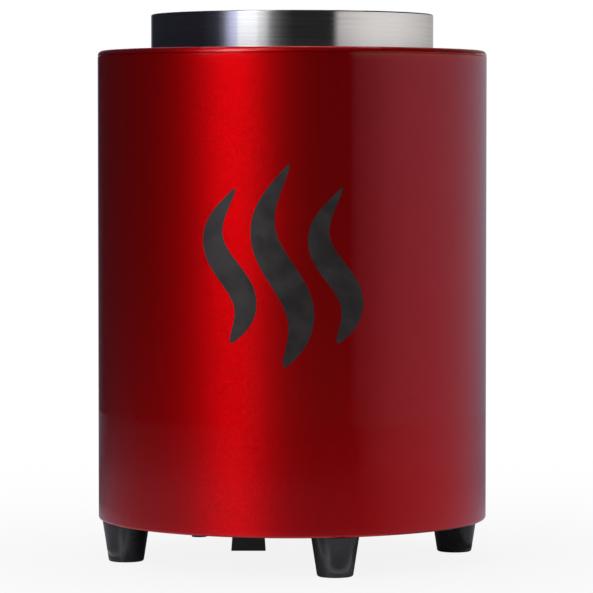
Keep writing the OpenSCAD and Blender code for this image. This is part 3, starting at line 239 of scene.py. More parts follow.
# Cards lie on the floor, and the wall's foot mirrors them as a floor that falls off to dark.
# A bright one follows its lower edge on the left and in front, and a dark one lies under the
# right side
card_z = 0.002
card_turns = [-180, -165, -150, -135, -120, -105, -92, -80, -65, -50, -38, -26, -14, -3, 9,
              22, 34, 42, 50, 59, 68, 79, 90, 105, 120, 135, 150, 165, 180]
card_glow = [0.20, 0.14, 0.08, 0.09, 0.12, 0.14, 0.15, 0.17, 0.18, 0.16, 0.13, 0.11, 0.10, 0.09,
             0.09, 0.09, 0.09, 0.12, 0.18, 0.22, 0.25, 0.27, 0.28, 0.27, 0.25, 0.22, 0.20, 0.20,
             0.20]
card_far = card_glow[:3] + [0.02] * 14 + card_glow[17:]
reflector("card_rim", [-180, -120, -80, -40, 0, 34],
          [(0.1035, card_z, [0.9] * 6), (0.109, card_z, [0.9] * 6)])
reflector("card_under", [40, 60, 80, 105, 130, 160],
          [(0.02, card_z, [0.05] * 6), (0.105, card_z, [0.05] * 6)])
reflector("floor_cards", card_turns, [
    (0.13, card_z, [0.45] * len(card_turns)),
    (0.31, card_z, card_glow),
    (0.48, card_z, [0.85 * g for g in card_glow]),
    (0.68, card_z, [max(0.45 * g, f) for g, f in zip(card_glow, card_far)]),
    (1.12, card_z, card_far)], (1.0, 0.94, 1.2))


def softbox(name, turn, reach, width, height, foot, radiance):
    """An upright area lamp that faces the dryer's axis, its lower edge at height foot."""
    data = bpy.data.lights.new(name, "AREA")
    data.color = (0.96, 0.97, 1.0)
    data.shape = "RECTANGLE"
    data.size = width
    data.size_y = height
    data.energy = radiance * math.pi * width * height
    lamp = bpy.data.objects.new(name, data)
    angle = math.radians(turn)
    lamp.location = (reach * math.sin(angle), -reach * math.cos(angle), foot + height / 2)
    lamp.rotation_euler = (math.radians(90), 0, angle)
    bpy.context.scene.collection.objects.link(lamp)


# The tall softbox has a weaker strip below it, which softens its lower edge
front_left = -39.0
softbox("softbox_foot", front_left, reach=1.5, width=0.72, height=0.13, foot=0.290, radiance=0.95)
softbox("softbox_front", front_left, reach=1.5, width=0.72, height=1.6, foot=0.42, radiance=2.9)
softbox("softbox_back", 180, reach=0.95, width=0.30, height=1.2, foot=0.30, radiance=2.2)


# ---- Rubber feet ----
# Four tapered feet of black rubber, moulded in one piece with a rounded lower edge, each
# screwed up through the base plate. Their skin is satin, with a fine mould texture.
rubber_colours = ((0.016, 0.016, 0.019), (0.027, 0.027, 0.031))


def pattern_group(name, inputs, outputs):
    """A node group with number inputs and the named outputs, and its two end nodes."""
    group = bpy.data.node_groups.new(name, "ShaderNodeTree")
    for label, value in inputs.items():
        socket = group.interface.new_socket(label, in_out="INPUT", socket_type="NodeSocketFloat")
        socket.default_value = value
    for label, kind in outputs.items():
        group.interface.new_socket(label, in_out="OUTPUT", socket_type="NodeSocket" + kind)
    sources = group.nodes.new("NodeGroupInput").outputs
    results = group.nodes.new("NodeGroupOutput").inputs
    return group, sources, results


# Mould grain: small rounded cells for the bump, and soft larger blotches for the tone
grain, grain_in, grain_out = pattern_group(
    "mould_grain", {"Scale": 1500.0, "Blotches": 60.0}, {"Height": "Float", "Tone": "Float"})
grain_place = place_in(grain)
grain_cells = put(grain, "ShaderNodeTexVoronoi",
                  {"Vector": grain_place, "Scale": grain_in["Scale"]})
grain_soft = put(grain, "ShaderNodeTexNoise", {"Vector": grain_place, "Detail": 4.0,
                                               "Scale": grain_in["Blotches"], "Roughness": 0.6})
link(grain, grain_cells.outputs["Distance"], grain_out["Height"])
link(grain, grain_soft.outputs[0], grain_out["Tone"])


def finish(name, group, feeds, colours, roughness, bump=None, plain=None, tones=(0.35, 0.65)):
    """A material whose colour and roughness run between two values with a group's Tone.

    feeds are the group's inputs, tones the part of Tone's range that is used, bump the
    strength and the distance in metres, and plain the shader's own even values.
    """
    material = bpy.data.materials.new(name)
    material.use_nodes = True
    tree = material.node_tree
    shader = tree.nodes["Principled BSDF"]
    for socket, value in (plain or {}).items():
        shader.inputs[socket].default_value = value
    pattern = put(tree, "ShaderNodeGroup", feeds, node_tree=group, name="pattern").outputs
    ramp = put(tree, "ShaderNodeValToRGB", {0: pattern["Tone"]}, name="colours")
    for element, place, colour in zip(ramp.color_ramp.elements, tones, colours):
        element.position = place
        element.color = (*colour, 1)
    rough = put(tree, "ShaderNodeMapRange",
                {"Value": pattern["Tone"], "From Min": tones[0], "From Max": tones[1],
                 "To Min": roughness[0], "To Max": roughness[1]})
    link(tree, ramp.outputs[0], shader.inputs["Base Color"])
    link(tree, rough.outputs[0], shader.inputs["Roughness"])
    if bump:
        relief = put(tree, "ShaderNodeBump", {"Height": pattern["Height"], "Strength": bump[0],
                                              "Distance": bump[1]})
        link(tree, relief.outputs[0], shader.inputs["Normal"])
    return material


def dress(material, *names):
    """Gives the material to these built parts."""
    for name in names:
        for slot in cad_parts[name].material_slots:
            slot.material = material


rubber = finish("foot_rubber", grain, {"Scale": 2600.0, "Blotches": 90.0}, rubber_colours,
                roughness=(0.20, 0.30), bump=(0.15, 0.0001), plain={"Specular IOR Level": 0.62})
dress(rubber, "foot_front", "foot_right", "foot_back", "foot_left")


# ---- Base plate and its fasteners ----
# A pressed steel plate, painted with a fine black texture powder. Angle brackets of zinc
# coated strip join it to the shell, and plated machine screws hold brackets and feet.
powder_black = finish("powder_black", grain, {"Scale": 1100.0, "Blotches": 35.0},
                      colours=((0.018, 0.018, 0.019), (0.03, 0.03, 0.032)),
                      roughness=(0.45, 0.6), bump=(0.45, 0.0002))
dress(powder_black, "base_plate")

# Zinc spangle: flat crystals of a few millimetres, each a little lighter or darker
spangle, spangle_in, spangle_out = pattern_group(
    "zinc_spangle", {"Scale": 220.0}, {"Height": "Float", "Tone": "Float"})
spangle_warp = 0.003
spangle_place = place_in(spangle)
spangle_bend = put(spangle, "ShaderNodeTexNoise",
                   {"Vector": spangle_place, "Scale": 160.0, "Detail": 2.0})
spangle_shift = put(spangle, "ShaderNodeVectorMath",
                    {0: spangle_bend.outputs["Color"], "Scale": spangle_warp}, operation="SCALE")
spangle_at = reckon(spangle, "ADD", spangle_place, spangle_shift.outputs[0], kind="VectorMath")
spangle_cells = put(spangle, "ShaderNodeTexVoronoi",
                    {"Vector": spangle_at, "Scale": spangle_in["Scale"]})
spangle_tone = put(spangle, "ShaderNodeSeparateColor", {0: spangle_cells.outputs["Color"]})
link(spangle, spangle_tone.outputs[0], spangle_out["Tone"])
link(spangle, spangle_bend.outputs[0], spangle_out["Height"])

zinc = finish("zinc_sheet", spangle, {"Scale": 240.0},
              colours=((0.42, 0.43, 0.45), (0.6, 0.61, 0.63)), roughness=(0.28, 0.42),
              bump=(0.15, 0.0002), plain={"Metallic": 1.0}, tones=(0.1, 0.9))
dress(zinc, "base_brackets", "intake_guard")

# Turned marks: fine rings about the upright axis, a little broken along their length
turned, turned_in, turned_out = pattern_group(
    "turned_marks", {"Lines": 900.0}, {"Height": "Float", "Tone": "Float"})
turned_x, turned_y, turned_z = put(turned, "ShaderNodeSeparateXYZ", {0: place_in(turned)}).outputs
turned_angle = reckon(turned, "ARCTAN2", turned_y, turned_x)
turned_flat = put(turned, "ShaderNodeCombineXYZ", {0: turned_x, 1: turned_y})
turned_radius = put(turned, "ShaderNodeVectorMath", {0: turned_flat.outputs[0]},
                    operation="LENGTH").outputs["Value"]
turned_at = put(turned, "ShaderNodeCombineXYZ",
                {0: turned_angle,
                 1: reckon(turned, "MULTIPLY", turned_radius, turned_in["Lines"]),
                 2: reckon(turned, "MULTIPLY", turned_z, turned_in["Lines"])})
turned_noise = put(turned, "ShaderNodeTexNoise",
                   {"Vector": turned_at.outputs[0], "Scale": 1.0, "Detail": 3.0})
link(turned, turned_noise.outputs[0], turned_out["Tone"])
link(turned, turned_noise.outputs[0], turned_out["Height"])

plated = finish("plated_screw", grain, {"Scale": 900.0, "Blotches": 300.0},
                colours=((0.5, 0.5, 0.51), (0.68, 0.68, 0.7)), roughness=(0.22, 0.36),
                bump=(0.05, 0.0001), plain={"Metallic": 1.0})
dress(plated, "foot_screws", "foot_nuts", "guard_screws")
dress(powder_black, "base_screws")


# ---- Filter cover with its foam ----
# A black moulded cover with slots and two finger tabs turns in the base like a bayonet
# and carries a disc of open-cell grey foam, cut from sheet and pressed into the cup.
satin_black = finish("moulded_black", grain, {"Scale": 1700.0, "Blotches": 45.0},
                     colours=((0.014, 0.014, 0.015), (0.024, 0.024, 0.026)),
                     roughness=(0.34, 0.48), bump=(0.3, 0.00012))
dress(satin_black, "filter_cover")

# Open foam: a net of thin pale struts round pores painted dark, a painted shade in the holes
foam_net, foam_in, foam_out = pattern_group(
    "foam_pores_painted_shade", {"Scale": 900.0}, {"Height": "Float", "Tone": "Float"})
foam_cells = put(foam_net, "ShaderNodeTexVoronoi",
                 {"Vector": place_in(foam_net), "Scale": foam_in["Scale"]},
                 feature="DISTANCE_TO_EDGE")
foam_struts_and_pore_shade = put(foam_net, "ShaderNodeMapRange",
                  {"Value": foam_cells.outputs[0], "From Min": 0.0, "From Max": 0.22,
                   "To Min": 1.0, "To Max": 0.0})
link(foam_net, foam_struts_and_pore_shade.outputs[0], foam_out["Tone"])
link(foam_net, foam_struts_and_pore_shade.outputs[0], foam_out["Height"])

foam_lo, foam_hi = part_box("lint_filter")
foam_r = (foam_hi.x - foam_lo.x) / 2
foam_edge = 0.0012
foam_swell = 0.0003
foam_turns = 72
foam_flats = 9
foam_profile = [(foam_r * k / foam_flats * (1 - foam_edge / foam_r), 0.0)
                for k in range(1, foam_flats + 1)]
foam_profile += [(foam_r - foam_edge * (1 - math.sin(a)), foam_edge * (1 - math.cos(a)))
                 for a in (math.radians(30), math.radians(60), math.radians(90))]


def foam_point(radius, depth, top, turn):
    """A point of the foam's skin, with the slight unevenness of a cut sheet."""
    angle = 2 * math.pi * turn / foam_turns
    uneven = foam_swell * (0.5 + 0.25 * math.sin(5 * angle + 90 * radius)
                           + 0.25 * math.cos(3 * angle - 160 * radius))
    z = foam_hi.z - depth - uneven if top else foam_lo.z + depth + uneven
    return (radius * math.cos(angle), radius * math.sin(angle), z)


foam_rings = [(r, d, False) for r, d in foam_profile]
foam_rings += [(r, d, True) for r, d in reversed(foam_profile)]
foam_points = [foam_point(r, d, top, t) for r, d, top in foam_rings for t in range(foam_turns)]
foam_faces = [(i * foam_turns + t, i * foam_turns + (t + 1) % foam_turns,
               (i + 1) * foam_turns + (t + 1) % foam_turns, (i + 1) * foam_turns + t)
              for i in range(len(foam_rings) - 1) for t in range(foam_turns)]
foam_faces += [tuple(reversed(range(foam_turns))),
               tuple(range(len(foam_points) - foam_turns, len(foam_points)))]
foam = mesh_piece("filter_foam_disc", foam_points, foam_faces)
# The dark end of these colours is painted shade in the foam's pores
foam.data.materials.append(finish("filter_foam_grey", foam_net, {"Scale": 1000.0},
                                  colours=((0.02, 0.02, 0.022), (0.16, 0.16, 0.17)),
                                  roughness=(0.95, 0.85), bump=(0.8, 0.0008),
                                  plain={"Specular IOR Level": 0.2}, tones=(0.1, 0.8)))
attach(foam, "filter_holder")
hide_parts("lint_filter")


# ---- Motor ----
# An open frame motor in a cast aluminium housing with an end cap, laminated cores,
# enamelled copper windings and a ground steel shaft in two ball bearings.
cast_metal = finish("cast_aluminium", grain, {"Scale": 700.0, "Blotches": 80.0},
                    colours=((0.45, 0.46, 0.47), (0.6, 0.6, 0.61)), roughness=(0.42, 0.58),
                    bump=(0.35, 0.0002), plain={"Metallic": 1.0})
dress(cast_metal, "motor_housing", "motor_end_cap")

# Stacked lines: level layers of one thickness, for laminations, wound wire and sleeving. Each
# layer is darker towards the grooves between layers: painted shade in those grooves, and for
# the core sheets also their dark joints
stacked, stacked_in, stacked_out = pattern_group(
    "stacked_lines", {"Pitch": 0.0005}, {"Height": "Float", "Tone": "Float"})
stacked_z = put(stacked, "ShaderNodeSeparateXYZ", {0: place_in(stacked)}).outputs[2]
stacked_count = reckon(stacked, "DIVIDE", stacked_z, stacked_in["Pitch"])
stacked_ridge_and_groove_shade = reckon(stacked, "PINGPONG", stacked_count, 1.0)
link(stacked, stacked_ridge_and_groove_shade, stacked_out["Tone"])
link(stacked, stacked_ridge_and_groove_shade, stacked_out["Height"])

# The dark end is painted shade and the dark joints between the core sheets
core_sheets = finish("core_sheets", stacked, {"Pitch": 0.0005},
                     colours=((0.2, 0.2, 0.22), (0.4, 0.4, 0.42)), roughness=(0.4, 0.55),
                     bump=(0.6, 0.0002), plain={"Metallic": 1.0})
dress(core_sheets, "stator_core", "rotor_core")
# The dark end of the copper's colours is painted shade between the turns of wire
copper = finish("enamelled_copper", stacked, {"Pitch": 0.0006},
                colours=((0.32, 0.08, 0.02), (0.72, 0.27, 0.09)), roughness=(0.25, 0.4),
                bump=(0.9, 0.0004), plain={"Metallic": 1.0, "Coat Weight": 0.6})
dress(copper, "stator_windings")
ground_steel = finish("ground_steel", turned, {"Lines": 3000.0},
                      colours=((0.5, 0.5, 0.52), (0.66, 0.66, 0.68)), roughness=(0.12, 0.22),
                      bump=(0.05, 0.0001), plain={"Metallic": 1.0})
dress(ground_steel, "motor_shaft", "bearing_balls", "bearing_outer_rings", "bearing_inner_rings")
dress(plated, "motor_screws")


# ---- Spider, bulkhead ring and duct ----
# The motor hangs from a four-armed spider; a pressed ring and a rolled duct, all of zinc
# coated sheet, part the air path from the bay with the electrics.
dress(zinc, "motor_spider", "bulkhead_ring", "inner_duct")
dress(plated, "duct_screws", "duct_nuts")


# ---- Fan wheel ----
# A moulded axial wheel with seven twisted blades on a hollow hub, held on the shaft's
# thread by a plated nut.
dress(satin_black, "impeller")
dress(plated, "impeller_nut")


# ---- Heater ----
# A sheathed tubular element, bent into one flat spiral and browned by heat. Lower arms and
# upper straps of sheet metal hold it, and it leaves the duct through two ceramic bushes.
coil_r = 0.0032
coil_pitch = 0.010
coil_turns = 4
coil_steps = 48
coil_margin = 0.010
coil_end_reach = 0.014
rise_bend = 0.007
rise_gap = 0.002
bend_steps = 8
exit_bend = 0.008
exit_along, exit_out = 0.99, 0.86
coil_start = math.radians(60)
duct_r = 0.070
coil_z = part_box("heater_element")[1].z - coil_r
run_z = coil_z - 2 * rise_bend
coil_outer = duct_r - coil_margin
coil_inner = coil_outer - coil_pitch * coil_turns
coil_end_r = duct_r + coil_end_reach


def polar(radius, angle, z=0.0):
    return Vector((radius * math.cos(angle), radius * math.sin(angle), z))


def coil_radius(angle):
    return coil_inner + coil_pitch * angle / (2 * math.pi)


def coil_heading(angle):
    lean = math.atan(coil_pitch / (2 * math.pi) / coil_radius(angle))
    return coil_start + angle + math.pi / 2 - lean


# The rise: where the tube, coming in level below the spiral, turns up and into it
rise_heading = polar(1, coil_heading(0))
rise_foot = polar(coil_inner, coil_start) - rise_bend * rise_heading
rise_turn = math.atan2(rise_foot.y, rise_foot.x)
rise_out = polar(1, rise_turn)
run_inner = rise_foot.length + rise_bend

# The exit: a bend that turns the spiral's outer end straight outward. It reaches exit_along
# of its radius along the spiral and exit_out outward
coil_sweep = 2 * math.pi * coil_turns
exit_heading = coil_heading(coil_sweep)
exit_lag = math.atan(exit_along * exit_bend / (coil_outer + exit_out * exit_bend))
exit_sweep = math.pi / 2 - math.atan(coil_pitch / (2 * math.pi) / coil_outer) - exit_lag
exit_centre = (polar(coil_outer, coil_start + coil_sweep)
               + polar(exit_bend, exit_heading - math.pi / 2))


def exit_point(sweep):
    return exit_centre + polar(exit_bend, exit_heading + math.pi / 2 - sweep)


exit_turn = math.atan2(exit_point(exit_sweep).y, exit_point(exit_sweep).x)
coil_route = []
for i in range(bend_steps + 1):
    reach = coil_end_r + (run_inner + rise_gap - coil_end_r) * i / bend_steps
    coil_route.append(rise_out * reach + Vector((0, 0, run_z)))
for i in range(bend_steps + 1):
    a = math.radians(90) * i / bend_steps
    coil_route.append(rise_foot + rise_out * rise_bend * (1 - math.sin(a))
                      + Vector((0, 0, run_z + rise_bend * (1 - math.cos(a)))))
for i in range(1, bend_steps):
    a = math.radians(90) * i / bend_steps
    coil_route.append(rise_foot + rise_heading * rise_bend * (1 - math.cos(a))
                      + Vector((0, 0, run_z + rise_bend * (1 + math.sin(a)))))
for i in range(coil_steps * coil_turns + 1):
    a = 2 * math.pi * i / coil_steps
    coil_route.append(polar(coil_radius(a), coil_start + a, coil_z))
for i in range(1, bend_steps + 1):
    coil_route.append(exit_point(exit_sweep * i / bend_steps) + Vector((0, 0, coil_z)))
coil_route.append(polar(coil_end_r, exit_turn, coil_z))


def tube(name, route, radius, sides=14):
    """A round tube along a route, its rings carried from point to point without twist."""
    last = len(route) - 1
    side = None
    points = []
    for i, centre in enumerate(route):
        along = (route[min(i + 1, last)] - route[max(i - 1, 0)]).normalized()
        if side is None:
            side = along.orthogonal()
        side = (side - side.dot(along) * along).normalized()
        other = along.cross(side)
        for k in range(sides):
            a = 2 * math.pi * k / sides
            points.append(centre + radius * (math.cos(a) * side + math.sin(a) * other))
    faces = [(i * sides + k, i * sides + (k + 1) % sides,
              (i + 1) * sides + (k + 1) % sides, (i + 1) * sides + k)
             for i in range(last) for k in range(sides)]
    faces += [tuple(reversed(range(sides))), tuple(range(last * sides, (last + 1) * sides))]
    return mesh_piece(name, points, faces)


# Heat tint: slow brown and blue-grey clouds over fine drawn lines
tint, tint_in, tint_out = pattern_group(
    "heat_tint", {"Clouds": 45.0}, {"Height": "Float", "Tone": "Float"})
tint_place = place_in(tint)
tint_clouds = put(tint, "ShaderNodeTexNoise",
                  {"Vector": tint_place, "Scale": tint_in["Clouds"], "Detail": 3.0})
tint_fine = put(tint, "ShaderNodeTexNoise",
                {"Vector": tint_place, "Scale": 1800.0, "Detail": 2.0})
link(tint, tint_clouds.outputs[0], tint_out["Tone"])
link(tint, tint_fine.outputs[0], tint_out["Height"])

coil = tube("heater_tube", coil_route, coil_r)
coil.data.materials.append(finish("browned_sheath", tint, {"Clouds": 50.0},
                                  colours=((0.10, 0.075, 0.06), (0.25, 0.21, 0.19)),
                                  roughness=(0.38, 0.55), bump=(0.2, 0.0001),
                                  plain={"Metallic": 0.9}))
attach(coil, "chassis")
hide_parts("heater_element")

dress(zinc, "heater_frame_lower", "heater_frame_upper")
dress(plated, "heater_screws")
steatite = finish("white_steatite", grain, {"Scale": 1300.0, "Blotches": 120.0},
                  colours=((0.72, 0.70, 0.64), (0.84, 0.82, 0.77)), roughness=(0.5, 0.65),
                  bump=(0.2, 0.0001))
dress(steatite, "heater_bushes")
brass = finish("stamped_brass", grain, {"Scale": 800.0, "Blotches": 200.0},
               colours=((0.56, 0.38, 0.14), (0.74, 0.54, 0.24)), roughness=(0.24, 0.36),
               bump=(0.05, 0.0001), plain={"Metallic": 1.0})
dress(brass, "heater_terminals")


# ---- Thermostat and fuse ----
# A disc thermostat of black phenolic sits on a zinc strip on the duct's outer wall, with a
# one-shot fuse in a ceramic clip beside it.
gloss_plastic = finish("gloss_plastic", grain, {"Scale": 500.0, "Blotches": 70.0},
                       colours=((0.012, 0.012, 0.013), (0.02, 0.02, 0.022)),
                       roughness=(0.14, 0.24), bump=(0.05, 0.0001))
dress(gloss_plastic, "thermostat")
dress(zinc, "thermostat_bracket")
dress(steatite, "thermal_fuse")


# ---- Inner leads ----
# Two glass-sleeved leads drop from the heater's lugs through the ring to the board's
# terminal block, and two black leads come from the motor's upper vent.
lead_r = 0.0013
lead_end = 2 * lead_r
pin_r = 0.002
pin_drop = 0.008
ring_t = 0.0012
ring_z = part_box("bulkhead_ring")[0].z + ring_t
ring_pass_r = 0.088
ring_pass_turn = 60
block_pitch = 0.0075
block_t = 0.012
block_h = 0.011
block_inset = 0.009
board_lo, board_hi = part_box("circuit_board")
block_y = board_lo.y - block_t / 2
block_top = board_hi.z - block_inset + block_h / 2
vent_h = 0.006
vent_drop = 0.011
vent_r = 0.0262
vent_pitch = 0.003
cap_t = 0.003
vent_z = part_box("motor_end_cap")[1].z - cap_t - vent_drop + vent_h / 2


def curve_points(a, b, c, d, count):
    """Points of a cubic curve with its two ends and two handles."""
    return [a * (1 - t) ** 3 + b * 3 * t * (1 - t) ** 2 + c * 3 * t * t * (1 - t) + d * t ** 3
            for t in (i / count for i in range(count + 1))]


drop = Vector((0, 0, lead_end))
# The dark end is painted shade in the grooves of the sleeving's weave
sleeving = finish("glass_sleeving", stacked, {"Pitch": 0.0009},
                  colours=((0.5, 0.48, 0.42), (0.72, 0.7, 0.63)), roughness=(0.7, 0.85),
                  bump=(0.7, 0.0003))
lead_black = finish("lead_insulation", grain, {"Scale": 900.0, "Blotches": 80.0},
                    colours=((0.015, 0.015, 0.017), (0.025, 0.025, 0.028)),
                    roughness=(0.4, 0.5))
leads = []
for i, (turn, z) in enumerate(((rise_turn, run_z - pin_drop), (exit_turn, coil_z - pin_drop))):
    start = polar(coil_end_r + pin_r, turn, z)
    through = polar(ring_pass_r, math.radians(ring_pass_turn + 2 * i - 1), ring_z)
    below = through - Vector((0, 0, ring_t))
    end = Vector((block_pitch * (2 - i), block_y, block_top))
    route = [start] + curve_points(start - drop, start - 7 * drop, through + 10 * drop, through, 20)
    route += curve_points(below, through - 5 * drop, end + 4 * drop, end + drop, 20) + [end]
    leads.append((f"heater_lead_{i + 1}", route, sleeving))
for i in range(2):
    start = Vector((vent_pitch * (i - 0.5), vent_r, vent_z))
    end = Vector((block_pitch * (i - 1), block_y, block_top))
    bent = end + Vector((0, -3 * lead_end, 4 * lead_end))
    route = curve_points(start, start + Vector((0, 5 * lead_end, 0)), bent, end + drop, 24) + [end]
    leads.append((f"motor_lead_{i + 1}", route, lead_black))
for i, (name, route, cover) in enumerate(leads):
    lead = tube(name, route, lead_r, 10)
    lead.data.materials.append(cover)
    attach(lead, "chassis")
    if i == 0:
        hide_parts("internal_leads")


# ---- Shell and deck ----
# Rolled and drawn sheet steel in candy lacquer: a bright metal flake ground, a clear red
# coat and a hard gloss coat on top. The deck's skirt slips into the shell's open top.
flake, flake_in, flake_out = pattern_group(
    "metal_flake", {"Flakes": 2600.0, "Spread": 0.2, "Upright": 0.6},
    {"Tone": "Float", "Normal": "Vector"})
flake_cells = put(flake, "ShaderNodeTexVoronoi",
                  {"Vector": place_in(flake), "Scale": flake_in["Flakes"]})
flake_tone = put(flake, "ShaderNodeSeparateColor", {0: flake_cells.outputs["Color"]})
flake_lean = reckon(flake, "SUBTRACT", flake_cells.outputs["Color"], (0.5, 0.5, 0.5),
                    kind="VectorMath")
flake_spread = put(flake, "ShaderNodeCombineXYZ",
                   {0: flake_in["Spread"], 1: flake_in["Spread"], 2: flake_in["Upright"]})
flake_tilt = reckon(flake, "MULTIPLY", flake_lean, flake_spread.outputs[0], kind="VectorMath")
flake_wall = put(flake, "ShaderNodeNewGeometry").outputs["Normal"]
flake_turned = reckon(flake, "ADD", flake_wall, flake_tilt, kind="VectorMath")
flake_normal = reckon(flake, "NORMALIZE", flake_turned, kind="VectorMath")
link(flake, flake_tone.outputs[0], flake_out["Tone"])
link(flake, flake_normal, flake_out["Normal"])

lacquer = finish("candy_lacquer", flake, {"Flakes": 13000.0, "Spread": 0.2, "Upright": 0.88},
                 colours=((0.60, 0.001, 0.003), (0.90, 0.002, 0.004)), roughness=(0.32, 0.39),
                 plain={"Metallic": 0.93, "Specular IOR Level": 0.0, "Coat Weight": 1.0,
                        "Coat Roughness": 0.03, "Coat IOR": 1.5}, tones=(0.0, 1.0))
link(lacquer.node_tree, lacquer.node_tree.nodes["pattern"].outputs["Normal"],
     lacquer.node_tree.nodes["Principled BSDF"].inputs["Normal"])
dress(lacquer, "body_shell", "top_deck")


# ---- Warm air print ----
# Three rising waves, screen printed in satin black ink on the front of the shell. Each is
# one tapered stroke, wrapped round the wall.
ink_lift = 0.00002
ink_t = 0.00006
print_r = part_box("body_shell")[1].x + ink_lift
print_turn = math.radians(-2.9)
print_z = 0.157
wave_steps = 72
wave_sides = 6
wave_cycles = 1.05
wave_phase = 0.02
wave_skew = 0.82
wave_taper = 0.75


def wave_stroke(name, across, height, sway, width):
    """One stroke: an S-line that is widest in its lower middle and runs out to points."""
    points = []
    for i in range(wave_steps + 1):
        t = i / wave_steps
        swing = 2 * math.pi * (t * wave_cycles + wave_phase)
        centre = across + sway * math.sin(swing)
        slope = sway * 2 * math.pi * wave_cycles * math.cos(swing)
        lean = math.hypot(slope, height) / height
        half = 0.5 * width * lean * math.sin(math.pi * t ** wave_skew) ** wave_taper
        for k in range(wave_sides + 1):
            angle = print_turn + (centre + half * (2 * k / wave_sides - 1)) / print_r
            for radius in (print_r, print_r + ink_t):
                points.append((radius * math.sin(angle), -radius * math.cos(angle),
                               print_z + height * (t - 0.5)))
    row = 2 * (wave_sides + 1)
    faces = []
    for i in range(wave_steps):
        a, b = i * row, (i + 1) * row
        for k in range(wave_sides):
            faces.append((a + 2 * k + 1, a + 2 * k + 3, b + 2 * k + 3, b + 2 * k + 1))
            faces.append((a + 2 * k, b + 2 * k, b + 2 * k + 2, a + 2 * k + 2))
        faces.append((a, a + 1, b + 1, b))
        faces.append((a + row - 2, b + row - 2, b + row - 1, a + row - 1))
    for a, flip in ((0, False), (wave_steps * row, True)):
        for k in range(wave_sides):
            end = (a + 2 * k, a + 2 * k + 2, a + 2 * k + 3, a + 2 * k + 1)
            faces.append(tuple(reversed(end)) if flip else end)
    return mesh_piece(name, points, faces, smooth=False)


ink = finish("satin_ink", grain, {"Scale": 2400.0, "Blotches": 90.0},
             colours=((0.022, 0.017, 0.018), (0.034, 0.028, 0.03)), roughness=(0.34, 0.44),
             bump=(0.1, 0.00003))
for name, across, height, sway, width in (("wave_left", -0.027, 0.078, 0.0085, 0.0135),
                                          ("wave_middle", 0.0, 0.102, 0.0095, 0.0155),
                                          ("wave_right", 0.027, 0.078, 0.0085, 0.0135)):
    wave = wave_stroke(name, across, height, sway, width)
    wave.data.materials.append(ink)
    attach(wave, "chassis")


# ---- Outlet collar, guard and deck screws ----
# A spigot turned from stainless steel and polished, with a rolled lip; the guard of plated
# wire rings rests in it, and six countersunk screws clamp both to the deck and the duct.
polished = finish("polished_steel_collar", turned, {"Lines": 1500.0},
                  colours=((0.50, 0.50, 0.51), (0.62, 0.62, 0.63)), roughness=(0.09, 0.15),
                  bump=(0.03, 0.0001), plain={"Metallic": 1.0})
dress(polished, "outlet_collar")
bright_wire = finish("plated_wire", grain, {"Scale": 700.0, "Blotches": 150.0},
                     colours=((0.55, 0.56, 0.58), (0.72, 0.73, 0.75)), roughness=(0.18, 0.3),
                     bump=(0.04, 0.0001), plain={"Metallic": 1.0})
dress(bright_wire, "outlet_guard")
dress(plated, "deck_screws", "deck_nuts")


# ---- Control panel ----
# A black moulded tray, screwed into the window at the back, with a power inlet, a red
# rocker switch and a heat selector; its marks are printed in pale grey.
dress(satin_black, "control_panel", "selector_knob", "selector_body")
dress(gloss_plastic, "power_inlet", "switch_body")
dress(plated, "panel_screws", "inlet_pins", "selector_nut")
dress(ground_steel, "selector_shaft")
rocker_red = finish("rocker_red_lens", grain, {"Scale": 500.0, "Blotches": 60.0},
                    colours=((0.42, 0.012, 0.012), (0.55, 0.02, 0.02)), roughness=(0.16, 0.26),
                    bump=(0.04, 0.0001), plain={"Coat Weight": 0.4})
dress(rocker_red, "switch_rocker")
pale_ink = finish("pale_ink", grain, {"Scale": 2400.0, "Blotches": 120.0},
                  colours=((0.62, 0.62, 0.60), (0.74, 0.74, 0.72)), roughness=(0.4, 0.5),
                  bump=(0.1, 0.00003))


def printed(name, strokes, width, place, body):
    """Pale marks: each stroke is a line of points that place() lays on the moulding."""
    points, faces = [], []
    for line in strokes:
        base, last = len(points), len(line) - 1
        for i, (u, v) in enumerate(line):
            ahead, behind = line[min(i + 1, last)], line[max(i - 1, 0)]
            run = Vector((ahead[0] - behind[0], ahead[1] - behind[1])).normalized() * width / 2
            for side in (-1, 1):
                for lift in (ink_lift, ink_lift + ink_t):
                    points.append(place(u - side * run.y, v + side * run.x, lift))
        for i in range(last):
            a, b = base + 4 * i, base + 4 * i + 4
            faces += [(a, b, b + 2, a + 2), (a + 1, a + 3, b + 3, b + 1),
                      (a, a + 1, b + 1, b), (a + 2, b + 2, b + 3, a + 3)]
        end = base + 4 * last
        faces += [(base, base + 2, base + 3, base + 1), (end, end + 1, end + 3, end + 2)]
    marks = mesh_piece(name, points, faces, smooth=False)
    shape = bmesh.new()
    shape.from_mesh(marks.data)
    bmesh.ops.recalc_face_normals(shape, faces=shape.faces)
    shape.to_mesh(marks.data)
    shape.free()
    marks.data.materials.append(pale_ink)
    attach(marks, body)


def arc_line(u, v, radius, start, stop, steps, squeeze=1.0):
    """Points of an arc about (u, v), its angles in degrees, its width times squeeze."""
    angles = (math.radians(start + (stop - start) * i / steps) for i in range(steps + 1))
    return [(u + squeeze * radius * math.cos(a), v + radius * math.sin(a)) for a in angles]


